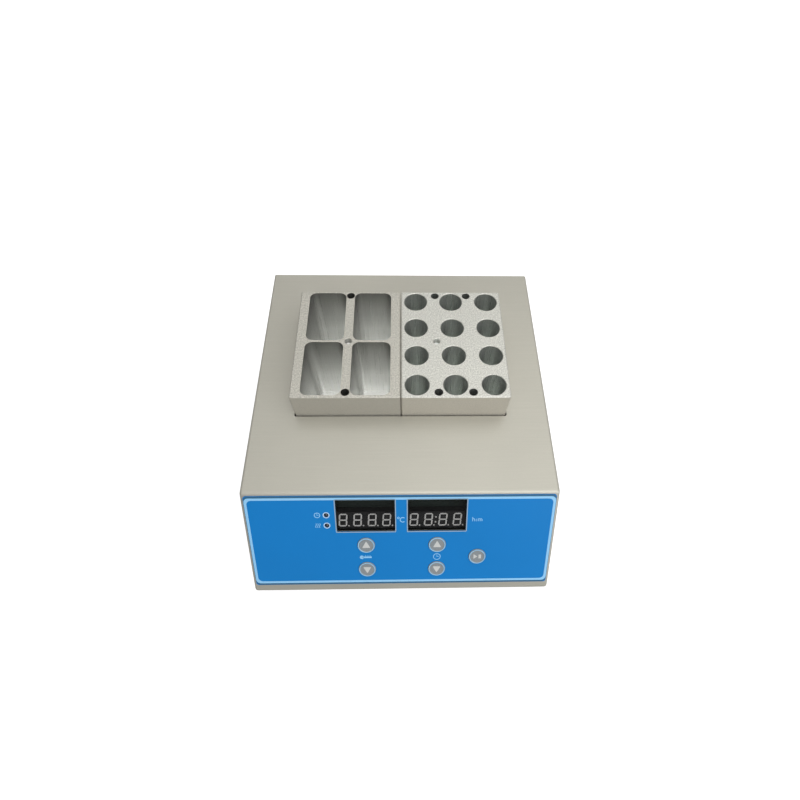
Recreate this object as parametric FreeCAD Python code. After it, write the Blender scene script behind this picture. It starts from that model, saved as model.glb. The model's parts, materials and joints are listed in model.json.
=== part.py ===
"""Two-block dry block heater: folded case, sloped control front, lift-out blocks, heater and mains inlet.

Millimetres, +Z up, the control front faces -Y, origin at the bottom centre of the whole object.
"""
import FreeCAD, Part
import math
import os

V = FreeCAD.Vector
RIGHT = V(1, 0, 0)
BACK = V(0, 1, 0)
UP = V(0, 0, 1)

# Folded sheet case
slope_run = 53.5
slope_drop = 62.7
case_height = 73.0
foot_height = 10.0
sheet = 1.2
plinth_inset = 6.0
brow_radius = 3.0
nose_radius = 1.6
side_bend_radius = 2.0
side_bay = 22.0
rear_wiring_gap = 2.5
fit_gap = 0.2
pan_lip_overlap = 3.7
tab_gap = 1.0
rear_tab_depth = 14.0
vent_slot_width = 3.0
vent_slot_length = 24.0
vent_pitch = 9.0
vent_count = 9
slot_rounding = 0.49

# Lift-out blocks
block_width = 76.2
block_depth = 98.0
block_proud = 23.0
block_gap = 0.4
block_setback = 60.8
block_chamfer = 0.8
well_clearance = 0.9
well_corner_radius = 1.5
lift_bore = 5.0
lift_depth = 5.0
lift_countersink = 0.4
probe_bore = 6.0
probe_depth = 45.0
probe_edge = 4.3
probe_chamfer = 0.2
drill_cone = 0.3

# Tube block
tube_columns = 3
tube_rows = 4
tube_bore = 17.3
tube_floor = 12.0
tube_column_pitch = 26.9
tube_row_pitch = 25.7
tube_mouth_chamfer = 0.4
tube_probe_spread = 24.0
tube_lift_offset = 12.0

# Pocket block
pocket_width = 27.8
pocket_length = 46.3
pocket_floor = 8.0
pocket_corner_radius = 5.0
pocket_rib = 6.4
pocket_cross_rib = 1.8

# Heater stack below the blocks
liner_sheet = 0.8
liner_flange = 6.0
heater_plate_thickness = 10.0
heater_mat_thickness = 1.5
clamp_plate_thickness = 1.2
insulation_thickness = 7.0
collar_thickness = 8.0
post_radius = 4.0
post_foot_radius = 6.0
post_foot_height = 5.1
post_inset = 10.0
cutout_radius = 8.0
cutout_height = 6.0
cutout_base_radius = 5.6
cutout_tail = 1.0
cutout_gap = 1.0
sensor_radius = 2.0
sensor_depth = 32.0
sensor_tail = 5.0
sensor_lead_run = 8.0
lead_radius = 1.1
lead_gap = 0.2

# Control panel on the slope, measured across and down from the brow
overlay_thickness = 0.6
overlay_side_margin = 2.2
overlay_top = 1.9
overlay_bottom = 74.4
overlay_corner_radius = 2.0
window_width = 40.4
window_height = 24.7
window_spacing = 49.2
window_middle = 17.6
window_rim = 1.6
window_rim_thickness = 1.0
window_sunk = 0.2
window_corner_radius = 0.6
digit_module_width = 40.2
digit_module_height = 12.8
digit_module_thickness = 7.0
digit_middle = 22.4
key_radius = 6.1
key_clearance = 0.15
key_proud = 0.7
key_rim_width = 0.9
key_dish = 0.3
key_flange = 0.8
key_flange_thickness = 1.2
key_stem_radius = 1.6
key_travel = 0.5
key_column_spacing = 50.0
key_upper_row = 41.1
key_lower_row = 61.5
start_key_across = 53.9
start_key_down = 51.4
switch_side = 6.0
switch_height = 3.6
switch_grip = 1.2
lamp_across = -51.3
lamp_upper = 16.7
lamp_lower = 24.8
lamp_radius = 1.5
lamp_flange = 0.4
lamp_proud = 0.5
lamp_body = 5.0
lamp_clearance = 0.15

# Circuit boards and their parts
board_thickness = 1.6
board_margin = 5.0
board_post_edge = 1.0
standoff_radius = 2.75
standoff_height = 6.0
power_board_width = 116.0
power_board_depth = 66.0
power_board_gap = 5.0
transformer_width = 36.0
transformer_depth = 30.0
transformer_height = 24.0
coil_overhang = 4.0
heatsink_length = 28.0
heatsink_height = 24.0
heatsink_fin = 1.6
heatsink_fins = 5
heatsink_fin_pitch = 4.0
heatsink_web = 3.0
triac_width = 10.0
triac_height = 15.0
triac_thickness = 4.4
terminal_width = 10.0
terminal_length = 32.0
terminal_height = 11.0
terminal_ways = 4
terminal_well_depth = 2.75
capacitor_radius = 5.0
capacitor_height = 15.0
capacitor_pitch = 13.0
header_width = 14.0
header_depth = 6.0
header_height = 6.0
ribbon_thickness = 1.0
ribbon_run = 8.0
ribbon_width = 12.0
ribbon_bend = 3.0

# Mains inlet with switch and fuse
inlet_side_gap = 2.5
inlet_up = 35.0
inlet_body_width = 49.0
inlet_body_height = 27.0
inlet_body_depth = 24.0
inlet_flange = 3.0
inlet_ear = 6.5
inlet_flange_height = 31.0
inlet_corner_radius = 3.0
inlet_screw_edge = 3.0
socket_across = 10.5
socket_width = 24.4
socket_height = 16.6
socket_depth = 17.0
socket_chamfer = 4.5
blade_width = 2.0
blade_height = 4.0
blade_spacing = 14.0
blade_offset = 2.0
blade_recess = 3.0
blade_tab = 7.0
drawer_across = -7.2
drawer_width = 7.6
drawer_height = 21.0
drawer_depth = 23.0
drawer_clearance = 0.2
drawer_grip = 1.2
fuse_radius = 2.5
fuse_length = 20.0
fuse_cap = 5.0
rocker_across = -17.7
rocker_width = 9.2
rocker_half_length = 8.6
rocker_end_height = 5.6
rocker_middle_height = 4.4
rocker_keel = 4.0
rocker_keel_half = 6.0
rocker_tilt = 9.0
rocker_pivot_depth = 5.5
rocker_clearance = 0.3
rocker_opening_half = 9.9
pivot_radius = 1.4
pivot_length = 0.9
pivot_clearance = 0.15
earth_stud_radius = 2.0
earth_stud_height = 9.0
earth_nut_radius = 4.0
earth_nut_height = 3.2

# Feet and screws
foot_radius = 9.0
foot_taper = 1.0
foot_recess_radius = 5.0
foot_recess = 5.0
foot_inset = 20.0
screw_radius = 1.5
screw_head_radius = 2.8
screw_head_height = 1.8
screw_length = 6.0
screw_head_taper = 0.7
screw_bite = 1.0
screw_clearance = 0.1
heater_screw_radius = 2.0
heater_screw_head_radius = 3.6
heater_screw_head_height = 2.4
heater_screw_bite = 7.0

# Cutters pass the faces that they cut by this much
past = 1.0

# Planes and stations worked out from the sizes above
well_half = block_width + block_gap / 2 + well_clearance
plate_half = well_half + liner_sheet
collar_half = plate_half + collar_thickness
half_width = collar_half + side_bay
well_wall = well_clearance + liner_sheet + collar_thickness
top_depth = block_setback + block_depth + well_wall + rear_wiring_gap + blade_tab + inlet_body_depth
tilt = math.radians(rocker_tilt)
rocker_reach = rocker_end_height * math.cos(tilt) + rocker_half_length * math.sin(tilt)
rear_proud = inlet_flange + max(rocker_reach - rocker_pivot_depth, screw_head_height)
slope = math.atan2(slope_drop, slope_run)
nose_short = nose_radius / math.tan(slope / 2) - nose_radius
case_depth = top_depth + slope_run
y_nose = -(case_depth + rear_proud + nose_short) / 2
y_brow = y_nose + slope_run
y_tail = y_nose + case_depth
y_plinth = y_nose + plinth_inset
z_base = foot_height
z_top = z_base + case_height
z_nose = z_top - slope_drop
z_floor = z_base + sheet
flange_height = z_nose - z_base + pan_lip_overlap
inner_half = half_width - sheet - fit_gap
slope_place = FreeCAD.Placement(V(0, y_brow, z_top), FreeCAD.Rotation(RIGHT, math.degrees(slope)))

y_block = y_brow + block_setback
y_block_middle = y_block + block_depth / 2
well_front = y_block - well_clearance
well_back = y_block + block_depth + well_clearance
z_block_top = z_top + block_proud
z_post_foot = z_floor + post_foot_height
z_insulation = z_post_foot + insulation_thickness
z_clamp = z_insulation + clamp_plate_thickness
z_mat = z_clamp + heater_mat_thickness
z_plate = z_mat + heater_plate_thickness
tube_depth = z_block_top - z_plate - tube_floor
pocket_depth = z_block_top - z_plate - pocket_floor
plate_front = well_front - liner_sheet
plate_back = well_back + liner_sheet
collar_front = plate_front - collar_thickness
collar_back = plate_back + collar_thickness
sensor_across = -well_half / 2

w_sheet_back = -sheet
w_window_back = w_sheet_back - window_rim_thickness
w_module_face = w_window_back - fit_gap
w_board = w_module_face - digit_module_thickness
w_board_back = w_board - board_thickness
w_switch = w_board + switch_height
w_key_flange = w_sheet_back - fit_gap
key_spots = {
    "temp_up_key": (-key_column_spacing / 2, key_upper_row),
    "temp_down_key": (-key_column_spacing / 2, key_lower_row),
    "time_up_key": (key_column_spacing / 2, key_upper_row),
    "time_down_key": (key_column_spacing / 2, key_lower_row),
    "start_key": (start_key_across, start_key_down),
}
lamp_spots = {"timing_lamp": (lamp_across, lamp_upper), "heating_lamp": (lamp_across, lamp_lower)}
window_spots = {"temp": -window_spacing / 2, "time": window_spacing / 2}
board_half = start_key_across + key_radius + key_flange + 2 * standoff_radius + board_margin / 2
board_top = board_margin
board_bottom = key_lower_row + switch_side / 2 + board_margin
board_posts = [
    (side * (board_half - standoff_radius - board_post_edge), down)
    for side in (-1, 1)
    for down in (board_top + board_margin, board_bottom - board_margin)
]

power_back = collar_front - power_board_gap
power_front = power_back - power_board_depth
power_half = power_board_width / 2
z_power = z_floor + standoff_height
z_power_top = z_power + board_thickness
power_posts = [
    (side * (power_half - board_margin), y)
    for side in (-1, 1)
    for y in (power_front + board_margin, power_back - board_margin)
]
terminal_middle = (
    power_half - terminal_width / 2 - board_margin,
    power_back - terminal_length / 2 - 2 * board_margin,
)

heatsink_face = terminal_middle[0] - terminal_width - heatsink_web - triac_thickness - board_margin
y_sensor_drop = collar_front - sensor_tail - sensor_lead_run

vent_half = vent_slot_width / 2
vent_end_radius = vent_slot_width * slot_rounding
inlet_flange_width = inlet_body_width + 2 * inlet_ear
inlet_screw_spacing = inlet_body_width + 2 * inlet_screw_edge
inlet_across = half_width - inlet_flange_width / 2 - inlet_side_gap
z_inlet = z_base + inlet_up
y_flange = y_tail + inlet_flange
y_inlet_back = y_tail - inlet_body_depth
y_blade_tip = y_flange - blade_recess
y_tab_end = y_inlet_back - blade_tab
socket_x = inlet_across + socket_across
drawer_x = inlet_across + drawer_across
rocker_x = inlet_across + rocker_across
y_pivot = y_flange - rocker_pivot_depth
blade_spots = {
    "live": (socket_x + blade_spacing / 2, z_inlet - blade_offset),
    "neutral": (socket_x - blade_spacing / 2, z_inlet - blade_offset),
    "earth": (socket_x, z_inlet + blade_offset),
}
y_wire_drop = y_inlet_back - blade_tab / 2
foot_spots = [
    (side * (half_width - foot_inset), y)
    for side in (-1, 1)
    for y in (y_plinth + foot_inset, y_tail - foot_inset)
]
heater_posts_at = [
    (side * (plate_half - post_inset), y)
    for side in (-1, 1)
    for y in (plate_front + post_inset, plate_back - post_inset)
]
side_screw_spots = [
    (y_plinth + 2 * foot_inset, z_base + flange_height / 2),
    (y_tail - 2 * foot_inset, z_base + flange_height / 2),
]
rear_side_screw = (y_tail - rear_tab_depth / 2, z_top - flange_height)
rear_screw_spots = [-half_width / 2, 0.0, half_width / 2]


def box(x0, x1, y0, y1, z0, z1):
    """Plain box between two corners."""
    return Part.makeBox(x1 - x0, y1 - y0, z1 - z0, V(x0, y0, z0))


def rounded_box(x0, x1, y0, y1, z0, z1, radius, along=UP):
    """Box whose four edges along one direction are rounded."""
    slab = box(x0, x1, y0, y1, z0, z1)
    edges = [e for e in slab.Edges if abs(e.tangentAt(e.FirstParameter).dot(along)) > 0.99]
    return slab.makeFillet(radius, edges)


def rod(radius, start, direction, length):
    """Round bar from a start point along a direction."""
    return Part.makeCylinder(radius, length, start, direction)


def fused(pieces):
    """One solid made of several overlapping or touching ones."""
    return pieces[0].fuse(pieces[1:]).removeSplitter()


def moved(shape, offset):
    """Copy of a shape shifted by an offset."""
    copy = shape.copy()
    copy.translate(offset)
    return copy


def on_slope(shape):
    """Copy of a flat-drawn shape (X across, Y up the slope from the brow, Z outward) laid on the slope."""
    copy = shape.copy()
    copy.Placement = slope_place.multiply(copy.Placement)
    return copy


def rounded_wire(corners, radii):
    """Closed wire through corner points, each rounded to its own radius; radius 0 stays sharp."""
    arcs = []
    for i, corner in enumerate(corners):
        before = (corners[i - 1] - corner).normalize()
        after = (corners[(i + 1) % len(corners)] - corner).normalize()
        half_turn = before.getAngle(after) / 2
        reach = radii[i] / math.tan(half_turn)
        bisector = (before + after).normalize()
        middle = corner + bisector * (radii[i] / math.sin(half_turn) - radii[i])
        arcs.append((corner + before * reach, middle, corner + after * reach))
    edges = []
    for i, (start, middle, end) in enumerate(arcs):
        if radii[i] > 0:
            edges.append(Part.Arc(start, middle, end).toShape())
        edges.append(Part.LineSegment(end, arcs[(i + 1) % len(arcs)][0]).toShape())
    return Part.Wire(edges)


def side_prism(corners, radii, x0, x1):
    """Prism across the case from a side outline given as (y, z) corners."""
    wire = rounded_wire([V(x0, y, z) for y, z in corners], radii)
    return Part.Face(wire).extrude(RIGHT * (x1 - x0))


def turned(outline):
    """Solid of revolution about Z from (radius, height) points."""
    points = [V(r, 0, z) for r, z in outline]
    face = Part.Face(Part.makePolygon(points + points[:1]))
    return face.revolve(V(), UP, 360)


def screw(
    seat, inward, length=screw_length, radius=screw_radius, head=screw_head_radius, rise=screw_head_height
):
    """Pan-head screw: its head sits on the seat point and its shank runs inward."""
    cap = Part.makeCone(head, head * screw_head_taper, rise, seat, inward * -1)
    return cap.fuse(rod(radius, seat, inward, length)).removeSplitter()


def lead(points, bend):
    """Insulated wire through points: straight runs joined by tangent arcs."""
    path = []
    start = points[0]
    for before, corner, after in zip(points, points[1:], points[2:]):
        back = (before - corner).normalize()
        ahead = (after - corner).normalize()
        half_turn = back.getAngle(ahead) / 2
        reach = bend / math.tan(half_turn)
        bisector = (back + ahead).normalize()
        middle = corner + bisector * (bend / math.sin(half_turn) - bend)
        path.append(Part.LineSegment(start, corner + back * reach).toShape())
        path.append(Part.Arc(corner + back * reach, middle, corner + ahead * reach).toShape())
        start = corner + ahead * reach
    path.append(Part.LineSegment(start, points[-1]).toShape())
    return Part.Wire(path)


def round_lead(points, bend, radius):
    """Solid round wire along a route."""
    section = Part.Wire(Part.makeCircle(radius, points[0], points[1] - points[0]))
    return lead(points, bend).makePipeShell([section], True, False)


def slope_y(inset, z):
    """Depth of the sloped front's plane, moved inward by an inset, at a height."""
    return y_brow - (z_top - z) / math.tan(slope) + inset / math.sin(slope)


def bend_edges(solid, half):
    """Long edges where the top and the slope fold into the sides."""
    chosen = []
    for edge in solid.Edges:
        ends = [v.Point for v in edge.Vertexes]
        middle = edge.valueAt((edge.FirstParameter + edge.LastParameter) / 2)
        on_side = all(abs(abs(p.x) - half) < 0.01 for p in ends) and len(ends) == 2
        if on_side and middle.z > z_nose + 2 * nose_radius and abs(ends[0].z - ends[1].z) < slope_drop:
            upright = abs(ends[0].y - ends[1].y) < 0.01
            if not upright:
                chosen.append(edge)
    return chosen


def folded_body(corners, radii, half, bend):
    """Case-shaped prism with rounded folds along its two sides."""
    solid = side_prism(corners, radii, -half, half)
    return solid.makeFillet(bend, bend_edges(solid, half))


def top_cover():
    """Folded cover: top, sloped front with a returned lip, and both sides, open below and behind."""
    outer = folded_body(
        [
            (y_tail, z_base), (y_tail, z_top), (y_brow, z_top), (y_nose, z_nose),
            (y_plinth, z_nose), (y_plinth, z_base),
        ],
        [0, 0, brow_radius, nose_radius, 0, 0],
        half_width,
        side_bend_radius,
    )
    z_under = z_top - sheet
    z_lip = z_nose + sheet
    inner = folded_body(
        [
            (y_tail + past, z_base - past),
            (y_tail + past, z_under),
            (slope_y(sheet, z_under), z_under),
            (slope_y(sheet, z_lip), z_lip),
            (y_plinth, z_lip),
            (y_plinth, z_base - past),
        ],
        [0, 0, brow_radius - sheet, nose_radius - sheet, 0, 0],
        half_width - sheet,
        side_bend_radius - sheet,
    )
    cover = outer.cut(inner)
    tools = [
        rounded_box(
            -well_half, well_half, well_front, well_back, z_under - past, z_top + past,
            well_corner_radius,
        )
    ]
    tools += [on_slope(tool) for tool in panel_cutters(w_sheet_back - past, past)]
    for side in (-1, 1):
        for y, z in side_screw_spots + [rear_side_screw]:
            tools.append(
                rod(
                    screw_radius + screw_clearance, V(side * (half_width - 2 * sheet), y, z),
                    RIGHT * side, 3 * sheet,
                )
            )
    return cover.cut(tools)


def panel_cutters(w0, w1):
    """Window, key and lamp openings through the sloped front, drawn flat."""
    tools = []
    for across in window_spots.values():
        tools.append(window_prism(across, 0.0, w0, w1))
    for across, down in key_spots.values():
        tools.append(rod(key_radius + key_clearance, V(across, -down, w0), UP, w1 - w0))
    for across, down in lamp_spots.values():
        tools.append(rod(lamp_radius + lamp_clearance, V(across, -down, w0), UP, w1 - w0))
    return tools


def window_prism(across, inset, w0, w1):
    """Window outline pulled in by an inset, as a flat-drawn prism."""
    half_w = window_width / 2 - inset
    half_h = window_height / 2 - inset
    return rounded_box(
        across - half_w, across + half_w, -window_middle - half_h, -window_middle + half_h,
        w0, w1, window_corner_radius,
    )


def panel_overlay():
    """Printed film on the sloped front, cut out for the windows, keys and lamps."""
    half = half_width - overlay_side_margin
    film = rounded_box(
        -half, half, -overlay_bottom, -overlay_top, 0, overlay_thickness, overlay_corner_radius,
    )
    return on_slope(film.cut(panel_cutters(-past, overlay_thickness + past)))


def display_window(across):
    """Smoked window: a lens in the opening with a rim bonded behind the sheet."""
    lens = window_prism(across, key_clearance, w_sheet_back, overlay_thickness - window_sunk)
    rim = window_prism(across, -window_rim, w_window_back, w_sheet_back)
    return on_slope(fused([rim, lens]))


def display_module(across):
    """Four-digit display block soldered on the control board."""
    half_w = digit_module_width / 2
    half_h = digit_module_height / 2
    block = box(
        across - half_w, across + half_w, -digit_middle - half_h, -digit_middle + half_h, w_board,
        w_module_face,
    )
    return on_slope(block)


def control_key(across, down):
    """Round key: dished cap with a raised rim, a flange behind the sheet and a stem into its switch."""
    w_cap = overlay_thickness + key_proud
    w_flange_back = w_key_flange - key_flange_thickness
    w_stem_end = w_switch - switch_grip
    rim_inner = key_radius - key_rim_width
    cap = turned([
        (0, w_stem_end),
        (key_stem_radius, w_stem_end),
        (key_stem_radius, w_flange_back),
        (key_radius + key_flange, w_flange_back),
        (key_radius + key_flange, w_key_flange),
        (key_radius, w_key_flange),
        (key_radius, w_cap - key_dish),
        (key_radius - key_dish, w_cap),
        (rim_inner, w_cap),
        (rim_inner - key_dish, w_cap - key_dish),
        (0, w_cap - key_dish),
    ])
    return on_slope(moved(cap, V(across, -down, 0)))


def key_switches():
    """Five push switches on the control board, each with a socket for its key's stem."""
    half = switch_side / 2
    bodies = []
    for across, down in key_spots.values():
        case = box(across - half, across + half, -down - half, -down + half, w_board, w_switch)
        socket_floor = w_switch - switch_grip - key_travel - fit_gap
        socket = rod(key_stem_radius + key_clearance, V(across, -down, socket_floor), UP, switch_height)
        bodies.append(on_slope(case.cut(socket)))
    return Part.Compound(bodies)


def indicator_lamp(across, down):
    """Small round lamp with a flange and a domed tip."""
    w_tip = overlay_thickness + lamp_proud
    w_foot = w_tip - lamp_body
    w_dome = w_tip - lamp_radius
    body = fused([
        rod(lamp_radius + lamp_flange, V(0, 0, w_foot), UP, lamp_flange * 2),
        rod(lamp_radius, V(0, 0, w_foot), UP, w_dome - w_foot),
        Part.makeSphere(lamp_radius, V(0, 0, w_dome)),
    ])
    return on_slope(moved(body, V(across, -down, 0)))


def lamp_spacers():
    """Sleeves that hold the lamps up off the control board."""
    w_foot = overlay_thickness + lamp_proud - lamp_body
    return Part.Compound([
        on_slope(rod(lamp_radius + lamp_flange, V(across, -down, w_board), UP, w_foot - w_board))
        for across, down in lamp_spots.values()
    ])


def control_board():
    """Circuit board behind the sloped front."""
    board = box(-board_half, board_half, -board_bottom, -board_top, w_board_back, w_board)
    holes = [
        rod(
            screw_radius + screw_clearance, V(across, -down, w_board_back - past), UP,
            board_thickness + 2 * past,
        )
        for across, down in board_posts
    ]
    return on_slope(board.cut(holes))


def control_standoffs():
    """Studs on the back of the sloped front that carry the control board."""
    length = w_sheet_back - w_board
    studs = []
    for across, down in board_posts:
        stud = rod(standoff_radius, V(across, -down, w_board), UP, length)
        bore = rod(screw_radius + screw_clearance, V(across, -down, w_board - past), UP, screw_length)
        studs.append(on_slope(stud.cut(bore)))
    return Part.Compound(studs)


def control_screws():
    """Screws that hold the control board to its studs."""
    return Part.Compound([
        on_slope(screw(V(across, -down, w_board_back), UP)) for across, down in board_posts
    ])


def control_header():
    """Ribbon connector on the back of the control board."""
    half = header_width / 2
    middle = -key_upper_row
    return on_slope(box(-half, half, middle - header_depth / 2, middle + header_depth / 2,
                        w_board_back - header_height, w_board_back))


def ribbon_start():
    """World point at the middle of the control header's free face, and the direction out of it."""
    point = slope_place.multVec(V(0, -key_upper_row, w_board_back - header_height))
    inward = slope_place.Rotation.multVec(UP * -1)
    return point, inward


def power_header_spot():
    """Depth of the power board's ribbon connector, straight below the ribbon's bend."""
    point, inward = ribbon_start()
    return (point + inward * ribbon_run).y


def power_header():
    """Ribbon connector on the power board."""
    half = header_width / 2
    y = power_header_spot()
    return box(
        -half, half, y - header_depth / 2, y + header_depth / 2, z_power_top,
        z_power_top + header_height,
    )


def ribbon_cable():
    """Flat ribbon from the control board's connector to the power board's, bent once."""
    point, inward = ribbon_start()
    corner = point + inward * ribbon_run
    end = V(0, corner.y, z_power_top + header_height)
    thick = ribbon_thickness / 2
    across = BACK.cross(inward).normalize().cross(inward)
    half = ribbon_width / 2
    section = Part.makePolygon([
        point + RIGHT * sx * half + across * sy * thick for sx, sy in (
            (-1, -1), (1, -1), (1, 1), (-1, 1), (-1, -1),
        )
    ])
    return lead([point, corner, end], ribbon_bend).makePipeShell([section], True, False)


def bare_block(x0):
    """Block blank with chamfered top and upright edges."""
    blank = box(x0, x0 + block_width, y_block, y_block + block_depth, z_plate, z_block_top)
    edges = [
        e
        for e in blank.Edges
        if min(v.Point.z for v in e.Vertexes) > z_plate or e.BoundBox.ZLength > 1
    ]
    return blank.makeChamfer(block_chamfer, edges)


def drilled(x, y, radius, depth, chamfer):
    """Flat-drawn drill cutter: bore with a coned floor and a chamfered mouth at the block's top."""
    z_end = z_block_top - depth
    cone = radius * drill_cone
    return fused([
        Part.makeCone(0.0, radius, cone, V(x, y, z_end), UP),
        rod(radius, V(x, y, z_end + cone), UP, depth - cone),
        Part.makeCone(radius, radius + 2 * chamfer, 2 * chamfer, V(x, y, z_block_top - chamfer), UP),
    ])


def service_holes(probe_xs, lift_x):
    """Cutters for the probe holes at the front and back edge and the threaded lifting hole."""
    tools = [drilled(lift_x, y_block_middle, lift_bore / 2, lift_depth, lift_countersink)]
    for x in probe_xs:
        for y in (y_block + probe_edge, y_block + block_depth - probe_edge):
            tools.append(drilled(x, y, probe_bore / 2, probe_depth, probe_chamfer))
    return tools


def tube_block():
    """Right block: a grid of round tube holes."""
    x0 = block_gap / 2
    middle = x0 + block_width / 2
    tools = service_holes(
        [middle - tube_probe_spread / 2, middle + tube_probe_spread / 2],
        middle - tube_lift_offset,
    )
    for column in range(tube_columns):
        for row in range(tube_rows):
            x = middle + (column - (tube_columns - 1) / 2) * tube_column_pitch
            y = y_block_middle + (row - (tube_rows - 1) / 2) * tube_row_pitch
            tools.append(drilled(x, y, tube_bore / 2, tube_depth, tube_mouth_chamfer))
    return bare_block(x0).cut(tools)


def pocket_block():
    """Left block: four milled pockets with rounded corners."""
    x0 = -block_gap / 2 - block_width
    middle = x0 + block_width / 2
    tools = service_holes([middle], middle)
    for side_x in (-1, 1):
        for side_y in (-1, 1):
            x = middle + side_x * (pocket_rib + pocket_width) / 2
            y = y_block_middle + side_y * (pocket_cross_rib + pocket_length) / 2
            tools.append(rounded_box(
                x - pocket_width / 2, x + pocket_width / 2, y - pocket_length / 2, y + pocket_length / 2,
                z_block_top - pocket_depth, z_block_top + past, pocket_corner_radius,
            ))
    return bare_block(x0).cut(tools)


def well_liner():
    """Sheet sleeve round the blocks, standing on the heater plate, with a flange under the cover."""
    z_under = z_top - sheet
    reach = plate_half + liner_flange
    sleeve = box(-plate_half, plate_half, plate_front, plate_back, z_plate, z_under)
    flange = box(
        -reach, reach, plate_front - liner_flange, plate_back + liner_flange,
        z_under - liner_sheet, z_under,
    )
    hollow = rounded_box(
        -well_half, well_half, well_front, well_back, z_plate - past, z_under + past, well_corner_radius,
    )
    return fused([sleeve, flange]).cut(hollow)


def heater_holes(radius, z0, z1):
    """Cutters for the four heater screws or posts between two heights."""
    return [rod(radius, V(x, y, z0), UP, z1 - z0) for x, y in heater_posts_at]


def heater_slab(z0, z1):
    """Plate of the heater's outline with holes for its screws."""
    slab = box(-plate_half, plate_half, plate_front, plate_back, z0, z1)
    return slab.cut(heater_holes(heater_screw_radius + screw_clearance, z0 - past, z1 + past))


def heater_plate():
    """Thick plate that the blocks stand on, tapped from below and bored for the temperature sensor."""
    plate = box(-plate_half, plate_half, plate_front, plate_back, z_mat, z_plate)
    tools = heater_holes(
        heater_screw_radius + screw_clearance, z_mat - past,
        z_mat + heater_screw_bite + screw_clearance,
    )
    tools.append(sensor_bar(sensor_radius + screw_clearance, sensor_depth + screw_clearance, past))
    return plate.cut(tools)


def sensor_bar(radius, depth, tail):
    """Round bar along the sensor's axis from a depth inside the plate to a tail in front of it."""
    z = (z_mat + z_plate) / 2
    return rod(radius, V(sensor_across, plate_front + depth, z), BACK * -1, depth + tail)


def insulation_board():
    """Rigid insulation under the heater, with holes for the posts and the thermal cut-out."""
    slab = box(-collar_half, collar_half, collar_front, collar_back, z_post_foot, z_insulation)
    tools = heater_holes(post_radius + screw_clearance, z_post_foot - past, z_insulation + past)
    tools.append(
        rod(
            cutout_radius + cutout_gap, V(0, y_block_middle, z_post_foot - past), UP,
            insulation_thickness + 2 * past,
        )
    )
    return slab.cut(tools)


def insulation_collar():
    """Insulation frame round the heater and the liner, with passages for the sensor and the leads."""
    z_roof = z_top - sheet - liner_sheet
    ring = box(-collar_half, collar_half, collar_front, collar_back, z_insulation, z_roof)
    hollow = box(-plate_half, plate_half, plate_front, plate_back, z_insulation - past, z_roof + past)
    tools = [hollow, sensor_bar(sensor_radius + screw_clearance, past, collar_thickness + past)]
    for x in lead_xs():
        tools.append(
            rod(
                lead_radius + lead_gap, V(x, plate_front + past, lead_z()), BACK * -1,
                collar_thickness + 2 * past,
            )
        )
    return ring.cut(tools)


def lead_xs():
    """Stations across of the two heater leads, in line with the terminal block."""
    return [terminal_middle[0] - terminal_width / 4, terminal_middle[0] + terminal_width / 4]


def lead_z():
    """Height of the heater leads: the middle of the heater mat, kept above the insulation board."""
    return max(z_clamp + heater_mat_thickness / 2, z_insulation + lead_radius + lead_gap)


def heater_leads():
    """Two insulated leads from the heater mat's front edge to the terminal block."""
    y_end = terminal_middle[1] + terminal_length / 2
    return Part.Compound(
        [rod(lead_radius, V(x, plate_front, lead_z()), BACK * -1, plate_front - y_end) for x in lead_xs()]
    )


def heater_posts():
    """Stepped spacers that carry the insulation on their feet and the heater on their tops."""
    posts = []
    for x, y in heater_posts_at:
        foot = rod(post_foot_radius, V(x, y, z_floor), UP, z_post_foot - z_floor)
        neck = rod(post_radius, V(x, y, z_floor), UP, z_insulation - z_floor)
        bore = rod(
            heater_screw_radius + screw_clearance, V(x, y, z_floor - past), UP,
            z_insulation - z_floor + 2 * past,
        )
        posts.append(fused([foot, neck]).cut(bore))
    return Part.Compound(posts)


def heater_screws():
    """Long screws from under the base through the posts into the heater plate."""
    length = z_mat + heater_screw_bite - z_base
    return Part.Compound([
        screw(
            V(x, y, z_base), UP, length, heater_screw_radius, heater_screw_head_radius,
            heater_screw_head_height,
        )
        for x, y in heater_posts_at
    ])


def thermal_cutout():
    """Disc thermostat pressed against the clamp plate in the insulation's middle hole."""
    cap = rod(cutout_radius, V(0, y_block_middle, z_insulation - cutout_height), UP, cutout_height)
    base = rod(
        cutout_base_radius, V(0, y_block_middle, z_post_foot - cutout_tail), UP,
        insulation_thickness,
    )
    return fused([cap, base])


def sensor_lead():
    """Lead from the sensor's tail, forward and down to its plug on the power board."""
    start = V(sensor_across, collar_front - sensor_tail, (z_mat + z_plate) / 2)
    corner = start - BACK * sensor_lead_run
    end = V(sensor_across, corner.y, z_power_top + header_height)
    return round_lead([start, corner, end], 2 * lead_radius, lead_radius)


def sensor_plug():
    """Small connector on the power board under the sensor lead."""
    y = y_sensor_drop
    half = header_depth / 2
    return box(
        sensor_across - half, sensor_across + half, y - half, y + half, z_power_top,
        z_power_top + header_height,
    )


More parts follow.
